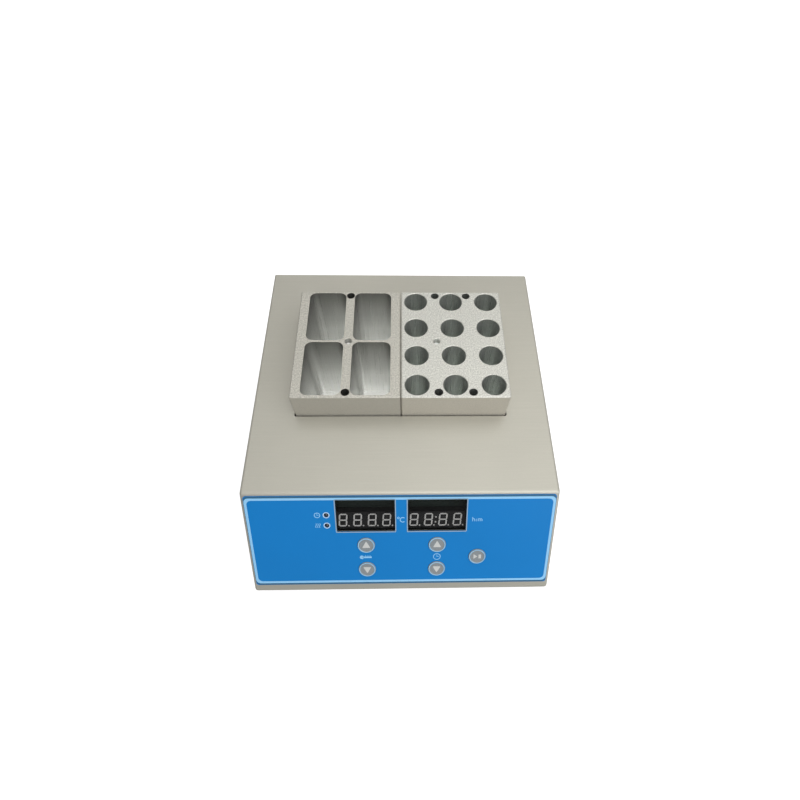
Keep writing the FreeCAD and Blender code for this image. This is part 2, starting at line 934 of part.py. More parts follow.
def base_pan():
    """Floor tray with a plinth front, turned-up sides and back, vents and holes."""
    z_side = z_base + flange_height
    y_back = y_tail - sheet
    tray = box(-inner_half, inner_half, y_plinth, y_back, z_base, z_side)
    hollow = box(
        -inner_half + sheet, inner_half - sheet, y_plinth + sheet, y_back - sheet, z_floor,
        z_side + past,
    )
    trim = box(-half_width, half_width, y_plinth - past, y_plinth + 2 * sheet, z_nose, z_side + past)
    tools = [hollow, trim]
    through = sheet + 2 * past
    for x, y in foot_spots + power_posts:
        tools.append(rod(screw_radius + screw_clearance, V(x, y, z_base - past), UP, through))
    tools += heater_holes(heater_screw_radius + screw_clearance, z_base - past, z_floor + past)
    for side in (-1, 1):
        for y, z in side_screw_spots:
            tools.append(
                rod(
                    screw_radius + screw_clearance, V(side * (inner_half - through), y, z),
                    RIGHT * side, 2 * through,
                )
            )
    for x in rear_screw_spots:
        tools.append(
            rod(
                screw_radius + screw_clearance, V(x, y_back - through, z_base + flange_height / 2),
                BACK, 2 * through,
            )
        )
    for i in range(vent_count):
        x = (i - (vent_count - 1) / 2) * vent_pitch
        y = (power_front + power_back) / 2
        tools.append(rounded_box(
            x - vent_half, x + vent_half, y - vent_slot_length / 2, y + vent_slot_length / 2,
            z_base - past, z_floor + past, vent_end_radius,
        ))
    return tray.cut(tools)


def rear_panel():
    """Back plate with side tabs, an inlet opening and a row of vents."""
    z_roof = z_top - sheet - fit_gap
    y_front = y_tail - sheet
    plate = box(-inner_half, inner_half, y_front, y_tail, z_base, z_roof)
    pieces = [plate]
    for side in (-1, 1):
        near = side * inner_half
        far = side * (inner_half - sheet)
        pieces.append(box(min(near, far), max(near, far), y_tail - rear_tab_depth, y_front,
                          z_base + flange_height + tab_gap, z_roof - side_bend_radius))
    panel = fused(pieces)
    body_w = inlet_body_width / 2 + fit_gap
    body_h = inlet_body_height / 2 + fit_gap
    through = sheet + 2 * past
    tools = [
        box(
            inlet_across - body_w, inlet_across + body_w, y_front - past, y_tail + past,
            z_inlet - body_h, z_inlet + body_h,
        )
    ]
    for side in (-1, 1):
        x = inlet_across + side * inlet_screw_spacing / 2
        tools.append(rod(screw_radius + screw_clearance, V(x, y_front - past, z_inlet), BACK, through))
        y, z = rear_side_screw
        tools.append(
            rod(
                screw_radius + screw_clearance, V(side * (inner_half - through), y, z), RIGHT * side,
                2 * through,
            )
        )
    for x in rear_screw_spots:
        tools.append(
            rod(
                screw_radius + screw_clearance, V(x, y_front - past, z_base + flange_height / 2),
                BACK, through,
            )
        )
    for i in range(vent_count):
        x = inlet_across - inlet_flange_width - i * vent_pitch
        tools.append(rounded_box(
            x - vent_half, x + vent_half, y_front - past, y_tail + past,
            z_inlet - vent_slot_length / 2, z_inlet + vent_slot_length / 2, vent_end_radius, BACK,
        ))
    return panel.cut(tools)


def rubber_feet():
    """Four tapered feet with a recess for the screw head."""
    shape = turned([
        (screw_radius + screw_clearance, foot_height),
        (screw_radius + screw_clearance, foot_recess),
        (foot_recess_radius, foot_recess),
        (foot_recess_radius, 0),
        (foot_radius - foot_taper, 0),
        (foot_radius, foot_taper),
        (foot_radius, foot_height),
    ])
    return Part.Compound([moved(shape, V(x, y, 0)) for x, y in foot_spots])


def foot_screws():
    """Screws that hold the feet to the floor."""
    length = foot_height - foot_recess + sheet + screw_bite
    return Part.Compound([screw(V(x, y, foot_recess), UP, length) for x, y in foot_spots])


def cover_screws():
    """Side screws through the cover into the base's sides and the rear panel's tabs."""
    pieces = []
    for side in (-1, 1):
        for y, z in side_screw_spots + [rear_side_screw]:
            pieces.append(screw(V(side * half_width, y, z), RIGHT * -side))
    return Part.Compound(pieces)


def rear_screws():
    """Screws through the rear panel into the base's back."""
    return Part.Compound(
        [screw(V(x, y_tail, z_base + flange_height / 2), BACK * -1) for x in rear_screw_spots]
    )


def power_board():
    """Mains board on the floor in front of the heater."""
    board = box(-power_half, power_half, power_front, power_back, z_power, z_power_top)
    return board.cut(
        [
            rod(screw_radius + screw_clearance, V(x, y, z_power - past), UP, board_thickness + 2 * past)
            for x, y in power_posts
        ]
    )


def power_standoffs():
    """Spacers under the power board."""
    spacers = []
    for x, y in power_posts:
        spacer = rod(standoff_radius, V(x, y, z_floor), UP, standoff_height)
        spacers.append(
            spacer.cut(
                rod(
                    screw_radius + screw_clearance, V(x, y, z_floor - past), UP,
                    standoff_height + 2 * past,
                )
            )
        )
    return Part.Compound(spacers)


def power_screws():
    """Screws through the power board and its spacers into the floor."""
    length = z_power_top - z_base
    return Part.Compound([screw(V(x, y, z_power_top), UP * -1, length) for x, y in power_posts])


def transformer():
    """Board transformer: laminated core with a coil standing out front and back."""
    x = -power_half / 2
    y = (power_front + power_back) / 2
    half_w = transformer_width / 2
    half_d = transformer_depth / 2
    core = box(
        x - half_w, x + half_w, y - half_d / 2, y + half_d / 2, z_power_top,
        z_power_top + transformer_height,
    )
    coil = box(x - half_w + coil_overhang, x + half_w - coil_overhang, y - half_d, y + half_d,
               z_power_top + coil_overhang / 2, z_power_top + transformer_height - coil_overhang)
    return fused([core, coil])


def heatsink():
    """Finned heatsink standing on the power board."""
    x = heatsink_face
    y = terminal_middle[1]
    half = heatsink_length / 2
    z_head = z_power_top + heatsink_height
    pieces = [box(x - heatsink_web, x, y - half, y + half, z_power_top, z_head)]
    reach = heatsink_web + heatsink_fin * heatsink_fins
    for i in range(heatsink_fins):
        fin_y = y + (i - (heatsink_fins - 1) / 2) * heatsink_fin_pitch
        pieces.append(
            box(
                x - reach, x - heatsink_web, fin_y - heatsink_fin / 2, fin_y + heatsink_fin / 2,
                z_power_top, z_head,
            )
        )
    return fused(pieces)


def triac():
    """Power switch clamped flat on the heatsink."""
    x = heatsink_face
    y = terminal_middle[1]
    half = triac_width / 2
    return box(x, x + triac_thickness, y - half, y + half, z_power_top, z_power_top + triac_height)


def terminal_block():
    """Screw terminal strip with a recess over each clamp."""
    x, y = terminal_middle
    half_w = terminal_width / 2
    half_l = terminal_length / 2
    strip = box(
        x - half_w, x + half_w, y - half_l, y + half_l, z_power_top, z_power_top + terminal_height,
    )
    pitch = terminal_length / terminal_ways
    wells = [
        rod(
            screw_head_radius, V(
                x, y + (i - (terminal_ways - 1) / 2) * pitch,
                z_power_top + terminal_height - terminal_well_depth,
            ),
            UP, terminal_height,
        )
        for i in range(terminal_ways)
    ]
    return strip.cut(wells)


def capacitors():
    """Two smoothing capacitors on the power board."""
    y = (power_front + power_back) / 2
    return Part.Compound([
        rod(capacitor_radius, V(0, y + side * capacitor_pitch / 2, z_power_top), UP, capacitor_height)
        for side in (-1, 1)
    ])


def socket_prism(y0, y1):
    """Six-sided inlet socket outline as a prism along the depth."""
    half_w = socket_width / 2
    half_h = socket_height / 2
    corners = [
        (-half_w, -half_h),
        (half_w, -half_h),
        (half_w, half_h - socket_chamfer),
        (half_w - socket_chamfer, half_h),
        (socket_chamfer - half_w, half_h),
        (-half_w, half_h - socket_chamfer),
    ]
    points = [V(socket_x + x, y0, z_inlet + z) for x, z in corners]
    return Part.Face(Part.makePolygon(points + points[:1])).extrude(BACK * (y1 - y0))


def inlet_blade(name):
    """One contact blade, from inside the socket out to its solder tab."""
    x, z = blade_spots[name]
    return box(
        x - blade_width / 2, x + blade_width / 2, y_tab_end, y_blade_tip, z - blade_height / 2,
        z + blade_height / 2,
    )


def inlet_blades():
    """The three contact blades of the inlet."""
    return Part.Compound([inlet_blade(name) for name in blade_spots])


def drawer_block(gap, y0, y1):
    """Fuse drawer outline grown by a gap, as a box between two depths."""
    half_w = drawer_width / 2 + gap
    half_h = drawer_height / 2 + gap
    return box(drawer_x - half_w, drawer_x + half_w, y0, y1, z_inlet - half_h, z_inlet + half_h)


def inlet_housing():
    """Panel inlet moulding with a socket, a fuse drawer bay and a rocker bay."""
    half_w = inlet_flange_width / 2
    half_h = inlet_flange_height / 2
    flange = rounded_box(inlet_across - half_w, inlet_across + half_w, y_tail, y_flange,
                         z_inlet - half_h, z_inlet + half_h, inlet_corner_radius, BACK)
    body = box(
        inlet_across - inlet_body_width / 2, inlet_across + inlet_body_width / 2, y_inlet_back, y_tail,
        z_inlet - inlet_body_height / 2, z_inlet + inlet_body_height / 2,
    )
    bay_half = rocker_width / 2 + rocker_clearance
    bay = box(rocker_x - bay_half, rocker_x + bay_half, y_pivot - rocker_opening_half, y_flange + past,
              z_inlet - rocker_opening_half, z_inlet + rocker_opening_half)
    pivot_half = bay_half + pivot_length
    pivot_bore = rod(
        pivot_radius + pivot_clearance, V(rocker_x - pivot_half, y_pivot, z_inlet), RIGHT,
        2 * pivot_half,
    )
    tools = [
        socket_prism(y_flange - socket_depth, y_flange + past),
        drawer_block(drawer_clearance, y_flange - drawer_depth - drawer_clearance, y_flange + past),
        bay,
        pivot_bore,
    ]
    tools += [inlet_blade(name) for name in blade_spots]
    for side in (-1, 1):
        x = inlet_across + side * inlet_screw_spacing / 2
        tools.append(
            rod(
                screw_radius + screw_clearance, V(x, y_tail - past, z_inlet), BACK,
                inlet_flange + 2 * past,
            )
        )
    return fused([flange, body]).cut(tools)


def inlet_screws():
    """Two screws that hold the inlet to the rear panel."""
    return Part.Compound([
        screw(
            V(inlet_across + side * inlet_screw_spacing / 2, y_flange, z_inlet), BACK * -1,
        ) for side in (-1, 1)
    ])


def rocker():
    """Rocker lying in its off position, with its two pivot stubs."""
    outline = [
        (rocker_end_height, -rocker_half_length),
        (rocker_middle_height, 0),
        (rocker_end_height, rocker_half_length),
        (-rocker_keel, rocker_keel_half),
        (-rocker_keel, -rocker_keel_half),
    ]
    half = rocker_width / 2
    points = [V(rocker_x - half, y_pivot + y, z_inlet + z) for y, z in outline]
    paddle = Part.Face(Part.makePolygon(points + points[:1])).extrude(RIGHT * rocker_width)
    stub_half = half + rocker_clearance + pivot_length - pivot_clearance
    stubs = rod(pivot_radius, V(rocker_x - stub_half, y_pivot, z_inlet), RIGHT, 2 * stub_half)
    shape = fused([paddle, stubs])
    shape.rotate(V(rocker_x, y_pivot, z_inlet), RIGHT, rocker_tilt)
    return shape


def fuse_drawer():
    """Fuse carrier that pulls out of the inlet, with a grip face and a trough for the fuse."""
    y_inner = y_flange - drawer_depth
    body = drawer_block(0.0, y_inner, y_flange)
    trough_half = fuse_radius + drawer_clearance
    end_half = fuse_length / 2 + drawer_clearance
    trough = box(drawer_x - trough_half, drawer_x + trough_half, y_inner - past, y_inner + 2 * trough_half,
                 z_inlet - end_half, z_inlet + end_half)
    grip = rod(drawer_width / 4, V(drawer_x - drawer_width, y_flange, z_inlet), RIGHT, 2 * drawer_width)
    return body.cut([trough, moved(grip, V(0, drawer_grip - drawer_width / 4, 0))])


def fuse():
    """Cartridge fuse with end caps, lying upright in the drawer's trough."""
    y = y_flange - drawer_depth + fuse_radius + drawer_clearance
    bottom = z_inlet - fuse_length / 2
    glass = rod(
        fuse_radius - drawer_clearance, V(drawer_x, y, bottom + fuse_cap / 2), UP,
        fuse_length - fuse_cap,
    )
    caps = [
        rod(fuse_radius, V(drawer_x, y, z), UP, fuse_cap)
        for z in (bottom, bottom + fuse_length - fuse_cap)
    ]
    return fused([glass] + caps)


def earth_stud():
    """Earth stud on the floor with its nut."""
    x = blade_spots["earth"][0]
    stud = rod(earth_stud_radius, V(x, y_wire_drop, z_floor), UP, earth_stud_height)
    hexagon = [
        V(
            x + earth_nut_radius * math.cos(i * math.pi / 3),
            y_wire_drop + earth_nut_radius * math.sin(i * math.pi / 3), z_floor,
        )
        for i in range(6)
    ]
    nut = Part.Face(Part.makePolygon(hexagon + hexagon[:1])).extrude(UP * earth_nut_height)
    return fused([stud, nut])


def supply_lead(name, y_turn):
    """Mains lead from an inlet tab to the floor, forward under the heater and into the terminal block."""
    x, z = blade_spots[name]
    z_run = z_floor + 2 * lead_radius
    z_clamp_height = z_power_top + terminal_height / 2
    x_end = terminal_middle[0] + terminal_width / 2
    route = [
        V(x, y_wire_drop, z - blade_height / 2),
        V(x, y_wire_drop, z_run),
        V(x, y_turn, z_run),
        V(x, y_turn, z_clamp_height),
        V(x_end, y_turn, z_clamp_height),
    ]
    return round_lead(route, 4 * lead_radius, lead_radius)


def earth_lead():
    """Earth lead from the inlet's middle tab straight down to the earth stud."""
    x, z = blade_spots["earth"]
    z_end = z_floor + earth_stud_height
    return rod(lead_radius, V(x, y_wire_drop, z_end), UP, z - blade_height / 2 - z_end)


def build_nodes():
    """Every node's name and shape."""
    nodes = {
        "top_cover": top_cover(),
        "base_pan": base_pan(),
        "rear_panel": rear_panel(),
        "panel_overlay": panel_overlay(),
        "key_switches": key_switches(),
        "lamp_spacers": lamp_spacers(),
        "control_board": control_board(),
        "control_standoffs": control_standoffs(),
        "control_screws": control_screws(),
        "ribbon_headers": Part.Compound([control_header(), power_header()]),
        "ribbon_cable": ribbon_cable(),
        "pocket_block": pocket_block(),
        "tube_block": tube_block(),
        "well_liner": well_liner(),
        "heater_plate": heater_plate(),
        "heater_mat": heater_slab(z_clamp, z_mat),
        "clamp_plate": heater_slab(z_insulation, z_clamp),
        "insulation_board": insulation_board(),
        "insulation_collar": insulation_collar(),
        "heater_posts": heater_posts(),
        "heater_screws": heater_screws(),
        "thermal_cutout": thermal_cutout(),
        "sensor_probe": sensor_bar(sensor_radius, sensor_depth, collar_thickness + sensor_tail),
        "sensor_lead": sensor_lead(),
        "sensor_plug": sensor_plug(),
        "heater_leads": heater_leads(),
        "power_board": power_board(),
        "power_standoffs": power_standoffs(),
        "power_screws": power_screws(),
        "transformer": transformer(),
        "heatsink": heatsink(),
        "triac": triac(),
        "terminal_block": terminal_block(),
        "capacitors": capacitors(),
        "inlet_housing": inlet_housing(),
        "inlet_blades": inlet_blades(),
        "inlet_screws": inlet_screws(),
        "rocker": rocker(),
        "fuse_drawer": fuse_drawer(),
        "fuse": fuse(),
        "earth_stud": earth_stud(),
        "earth_lead": earth_lead(),
        "live_lead": supply_lead("live", terminal_middle[1] + terminal_length / 4),
        "neutral_lead": supply_lead("neutral", terminal_middle[1] - terminal_length / 4),
        "rubber_feet": rubber_feet(),
        "foot_screws": foot_screws(),
        "cover_screws": cover_screws(),
        "rear_screws": rear_screws(),
    }
    for name, (across, down) in key_spots.items():
        nodes[name] = control_key(across, down)
    for name, (across, down) in lamp_spots.items():
        nodes[name] = indicator_lamp(across, down)
    for name, across in window_spots.items():
        nodes[name + "_window"] = display_window(across)
        nodes[name + "_display"] = display_module(across)
    return nodes


def main():
    """Write one file for each node."""
    os.makedirs("parts", exist_ok=True)
    for name, shape in build_nodes().items():
        shape.exportStep("parts/" + name + ".step")


main()
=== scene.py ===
"""Looks of the two-block dry block heater: finishes, panel print, digits, painted recess shadows,
studio.
"""
import json
import logging
import math
from dataclasses import dataclass, field, replace
from enum import Enum
from functools import cache
from typing import Any, Iterable, Optional, Sequence

import bmesh
import bpy
from mathutils import Matrix, Vector


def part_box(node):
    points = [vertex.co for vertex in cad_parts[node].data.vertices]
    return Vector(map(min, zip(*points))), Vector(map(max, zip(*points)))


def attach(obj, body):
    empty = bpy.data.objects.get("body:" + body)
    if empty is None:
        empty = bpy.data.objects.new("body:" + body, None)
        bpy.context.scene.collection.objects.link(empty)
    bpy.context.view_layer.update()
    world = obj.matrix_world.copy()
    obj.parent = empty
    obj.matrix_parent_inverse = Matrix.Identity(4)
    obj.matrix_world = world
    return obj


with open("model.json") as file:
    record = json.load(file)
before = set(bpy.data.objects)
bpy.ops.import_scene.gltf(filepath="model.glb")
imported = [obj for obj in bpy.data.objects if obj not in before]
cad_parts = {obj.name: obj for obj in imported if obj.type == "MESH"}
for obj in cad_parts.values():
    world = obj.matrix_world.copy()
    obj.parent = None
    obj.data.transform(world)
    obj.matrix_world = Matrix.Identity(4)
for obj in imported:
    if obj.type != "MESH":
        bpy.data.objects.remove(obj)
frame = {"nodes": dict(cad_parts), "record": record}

LOG = logging.getLogger("dry_block_heater")
MM = 0.001
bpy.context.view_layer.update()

SCREEN_FULL = 255
SCREEN_TOE, SCREEN_SLOPE, SCREEN_OFFSET, SCREEN_POWER = 0.04045, 12.92, 0.055, 2.4

Colour = Triple = tuple[float, float, float]
Flat = tuple[float, float]
Loop = list[Flat]
Socket = bpy.types.NodeSocket
Corners = list[bmesh.types.BMVert]


def linear(colour: Colour) -> Colour:
    """Turns a screen colour of 0 to 255 into the linear colour of 0 to 1 that shaders take."""
    shares = [part / SCREEN_FULL for part in colour]
    return tuple(
        share / SCREEN_SLOPE if share <= SCREEN_TOE
        else ((share + SCREEN_OFFSET) / (1 + SCREEN_OFFSET)) ** SCREEN_POWER for share in shares)


class Graph:
    """A short way to add and join the nodes of one shader tree."""

    colour_ends = (6, 7)
    colour_result = 2

    def __init__(self, tree: bpy.types.NodeTree) -> None:
        """Keeps the tree that nodes are added to."""
        self.tree = tree

    def link(self, source: Socket, target: Socket) -> None:
        """Joins an output to an input."""
        self.tree.links.new(source, target)

    def node(self, kind: str, inputs: Optional[dict[Any, Any]] = None,
             **settings: Any) -> bpy.types.Node:
        """Adds one node.

        Args:
            kind: the node's type, without its ShaderNode prefix.
            inputs: for each input, by name or place, a value or the socket that feeds it.
            settings: the node's own properties.
        Returns:
            The new node.
        """
        made = self.tree.nodes.new("ShaderNode" + kind)
        for name, value in settings.items():
            setattr(made, name, value)
        for name, value in (inputs or {}).items():
            if isinstance(value, Socket):
                self.link(value, made.inputs[name])
            else:
                made.inputs[name].default_value = value
        return made

    def math(self, operation: str, *values: Any) -> Socket:
        """Adds a Math node and returns its output."""
        return self.node("Math", dict(enumerate(values)), operation=operation).outputs[0]

    def vector(self, operation: str, *values: Any, output: str = "Vector") -> Socket:
        """Adds a Vector Math node and returns one of its outputs."""
        return self.node("VectorMath", dict(enumerate(values)), operation=operation).outputs[output]

    def scaled(self, colour: Any, shade: Any) -> Socket:
        """Multiplies a colour by a shade and returns the result."""
        return self.node("VectorMath", {0: colour, "Scale": shade}, operation="SCALE").outputs[0]

    def blended(self, share: Any, first: Any, second: Any) -> Socket:
        """Mixes two values: first where share is 0, second where it is 1."""
        return self.node("Mix", {0: share, 2: first, 3: second}).outputs[0]

    def mixed(self, share: Any, first: Any, second: Any) -> Socket:
        """Mixes two colours: first where share is 0, second where it is 1."""
        ends = [end if isinstance(end, Socket) else (*end, 1.0) for end in (first, second)]
        inputs = {0: share, **dict(zip(self.colour_ends, ends))}
        return self.node("Mix", inputs, data_type="RGBA").outputs[self.colour_result]

    def band(self, value: Any, low: float, high: float, to_low: float, to_high: float) -> Socket:
        """Maps a value from one range to another, held at the ends."""
        ends = {0: value, 1: low, 2: high, 3: to_low, 4: to_high}
        return self.node("MapRange", ends, clamp=True).outputs[0]


@dataclass(frozen=True)
class Noise:
    """An effect made of noise: how fine it is, and whether it is drawn out into lines."""

    name: str
    detail: float
    roughness: float = 0.5
    drawn: bool = False
    height: bool = True


class Effects:
    """The surface effects that several finishes share, each one shader node group.

    Grain is fine speckle. Lay is long fine lines in one direction, as rolling and milling leave.
    Handling is broad soft patches, where hands, heat and cleaning have dulled a surface.
    """

    made: dict[str, bpy.types.NodeTree] = {}
    noises = (Noise("grain", 3.0), Noise("lay", 4.0, 0.65, drawn=True),
              Noise("handling", 2.0, height=False))
    noise_mean = 0.5
    upward = 0.5
    top_skin = 1.2 * MM
    outer_skin = 0.6 * MM
    level_depth = 0.7
    edge_samples = 4
    edge_detail = 4.0
    edge_breaks = (0.35, 0.6, 0.25, 1.0)
    edge_turn = (0.78, 0.98, 1.0, 0.0)

    @classmethod
    def start(cls, name: str, inputs: dict[str, str],
              outputs: Sequence[str]) -> tuple[Graph, Any, Any]:
        """Starts one group with its named sockets.

        Args:
            name: the group's name.
            inputs: socket type by input name.
            outputs: the names of its value outputs.
        Returns:
            The group's graph, the outputs of its input node and the inputs of its output node.
        """
        tree = bpy.data.node_groups.new(name, "ShaderNodeTree")
        for label, kind in inputs.items():
            tree.interface.new_socket(label, in_out="INPUT", socket_type="NodeSocket" + kind)
        for label in outputs:
            tree.interface.new_socket(label, in_out="OUTPUT", socket_type="NodeSocketFloat")
        cls.made[name] = tree
        given, out = tree.nodes.new("NodeGroupInput"), tree.nodes.new("NodeGroupOutput")
        return Graph(tree), given.outputs, out.inputs

    @classmethod
    def build(cls) -> None:
        """Builds every group once."""
        for noise in cls.noises:
            cls.build_noise(noise)
        cls.build_zones()
        cls.build_edge_wear_and_highlight()

    @classmethod
    def build_noise(cls, noise: Noise) -> None:
        """Builds one of the effects that are made of noise."""
        size = {"Stretch": "Vector"} if noise.drawn else {"Scale": "Float"}
        outputs = ("Shade", "Height") if noise.height else ("Shade",)
        graph, given, out = cls.start(noise.name, {**size, "Amount": "Float"}, outputs)
        place = graph.node("TexCoord").outputs["Object"]
        inputs = {"Detail": noise.detail, "Roughness": noise.roughness}
        if noise.drawn:
            place, scale = graph.vector("MULTIPLY", place, given["Stretch"]), 1.0
        else:
            scale = given["Scale"]
        speckle = graph.node("TexNoise", {"Vector": place, "Scale": scale, **inputs}).outputs[0]
        off = graph.math("SUBTRACT", speckle, cls.noise_mean)
        graph.link(graph.math("MULTIPLY_ADD", off, given["Amount"], 1.0), out["Shade"])
        if noise.height:
            graph.link(speckle, out["Height"])

    @classmethod
    def build_zones(cls) -> None:
        """Tells a block's top from its outer faces, the walls of its holes and its narrow bores."""
        inputs = {"Centre": "Vector", "Half": "Vector", "Top": "Float", "Deep": "Float",
                  "Bore": "Vector", "Reach": "Float"}
        outputs = ("Top Face", "Inside", "Depth", "Narrow")
        graph, given, out = cls.start("zones", inputs, outputs)
        place = graph.node("TexCoord").outputs["Object"]
        normal = graph.node("NewGeometry").outputs["Normal"]
        up = graph.node("SeparateXYZ", {0: normal}).outputs["Z"]
        height = graph.node("SeparateXYZ", {0: place}).outputs["Z"]
        below = graph.math("SUBTRACT", given["Top"], height)
        level = graph.math("GREATER_THAN", up, cls.upward)
        near = graph.math("LESS_THAN", below, cls.top_skin)
        graph.link(graph.math("MULTIPLY", level, near), out["Top Face"])
        off = graph.vector("ABSOLUTE", graph.vector("SUBTRACT", place, given["Centre"]))
        room = graph.node("SeparateXYZ", {0: graph.vector("SUBTRACT", given["Half"], off)})
        least = graph.math("MINIMUM", room.outputs["X"], room.outputs["Y"])
        graph.link(graph.math("GREATER_THAN", least, cls.outer_skin), out["Inside"])
        # Depth sets the hole walls' painted shade and reflection; upward faces inside the holes
        # take a set share of it.
        depth = graph.math("MINIMUM", graph.math("DIVIDE", below, given["Deep"]), 1.0)
        graph.link(graph.blended(level, depth, cls.level_depth), out["Depth"])
        aside = graph.vector("SUBTRACT", off, given["Bore"])
        aside = graph.vector("MULTIPLY", aside, (1.0, 1.0, 0.0))
        far = graph.vector("LENGTH", aside, output="Value")
        graph.link(graph.math("LESS_THAN", far, given["Reach"]), out["Narrow"])

    @classmethod
    def build_edge_wear_and_highlight(cls) -> None:
        """Builds broken bright lines along edges: partly rubbed wear, partly a painted edge
        highlight.
        """
        inputs = {"Radius": "Float", "Scale": "Float"}
        graph, given, out = cls.start("edge_wear_and_highlight", inputs, ("Mask",))
        rounded_off = graph.node("Bevel", {"Radius": given["Radius"]}, samples=cls.edge_samples)
        normal = graph.node("NewGeometry").outputs["Normal"]
        turn = graph.vector("DOT_PRODUCT", rounded_off.outputs[0], normal, output="Value")
        place = graph.node("TexCoord").outputs["Object"]
        patches = {"Vector": place, "Scale": given["Scale"], "Detail": cls.edge_detail}
        broken = graph.band(graph.node("TexNoise", patches).outputs[0], *cls.edge_breaks)
        edges = graph.band(turn, *cls.edge_turn)
        graph.link(graph.math("MULTIPLY", edges, broken), out["Mask"])

    @classmethod
    def place(cls, graph: Graph, name: str, *values: Any) -> Any:
        """Places one group in a material, with its inputs in order, and returns its outputs."""
        return graph.node("Group", dict(enumerate(values)), node_tree=cls.made[name]).outputs


class Lay(Enum):
    """The direction of a surface's fine lines, as line counts per metre along x, y and z."""

    NONE = None
    ACROSS = (25.0, 2600.0, 2600.0)
    ALONG = (2600.0, 25.0, 2600.0)
    UPRIGHT = (2000.0, 2000.0, 12.0)
    ROUND = (12.0, 12.0, 2200.0)


@dataclass(frozen=True)
class Finish:
    """One material: a base colour broken up by grain, lay lines and handling marks.

    Each of these effects is given as its fineness and its amount. The slot is the record's
    material slot, where that isn't called what the finish is.
    """

    name: str
    colour: Colour
    roughness: float
    metallic: float = 0.0
    slot: str = ""
    grain: Flat = (1500, 0.12)
    lay: tuple[Lay, float] = (Lay.NONE, 0.0)
    handling: Flat = (30, 0.08)
    spread: float = 0.06
    relief: float = 0.02
    coat: float = 0.0
    coat_roughness: float = 0.1
    alpha: float = 1.0
    specular: float = 0.5
    bump: float = 0.5
    height_range: Flat = (0.3, 0.9)
    # Edges brightened: partly rubbed wear, partly a painted edge highlight on chamfers and bends.
    wear_and_highlight: float = 0.0
    edge_mark_width: float = 0.5
    edge_mark_scale: float = 1 / 6

    def start(self) -> tuple[bpy.types.Material, Graph, Any]:
        """Returns a new material with its uniform values, its graph and its shader's inputs."""
        material = bpy.data.materials.new(self.name)
        material.use_nodes = True
        surface = material.node_tree.nodes["Principled BSDF"].inputs
        values = {"Metallic": self.metallic, "Coat Weight": self.coat, "Alpha": self.alpha,
                  "Coat Roughness": self.coat_roughness, "Specular IOR Level": self.specular}
        for name, value in values.items():
            surface[name].default_value = value
        return material, Graph(material.node_tree), surface

    def rubbed_and_highlit(self, graph: Graph, colour: Socket) -> Socket:
        """Returns a colour that is brighter along the surface's edges, as rubbed wear and painted
        edge highlight, if this finish has them.
        """
        if not self.wear_and_highlight:
            return colour
        width, scale = self.edge_mark_width * MM, self.grain[0] * self.edge_mark_scale
        edges = Effects.place(graph, "edge_wear_and_highlight", width, scale)
        return graph.scaled(colour, graph.math("MULTIPLY_ADD", edges["Mask"], self.wear_and_highlight, 1.0))

    def raised(self, graph: Graph, height: Socket) -> Socket:
        """Returns the normal of a surface whose height varies."""
        values = {"Height": height, "Strength": self.bump, "Distance": self.relief * MM}
        return graph.node("Bump", values).outputs[0]

    @cache
    def material(self) -> bpy.types.Material:
        """Builds the material once, with colour, roughness and relief from its nodes."""
        material, graph, surface = self.start()
        grain = Effects.place(graph, "grain", *self.grain)
        marks = Effects.place(graph, "handling", *self.handling)
        shade = graph.math("MULTIPLY", grain["Shade"], marks["Shade"])
        height = grain["Height"]
        way, amount = self.lay
        if way is not Lay.NONE:
            lay = Effects.place(graph, "lay", way.value, amount)
            shade = graph.math("MULTIPLY", shade, lay["Shade"])
            height = graph.math("ADD", height, lay["Height"])
        colour = graph.scaled(linear(self.colour), shade)
        gloss = (self.roughness - self.spread, self.roughness + self.spread)
        graph.link(self.rubbed_and_highlit(graph, colour), surface["Base Color"])
        graph.link(graph.band(height, *self.height_range, *gloss), surface["Roughness"])
        graph.link(self.raised(graph, height), surface["Normal"])
        return material


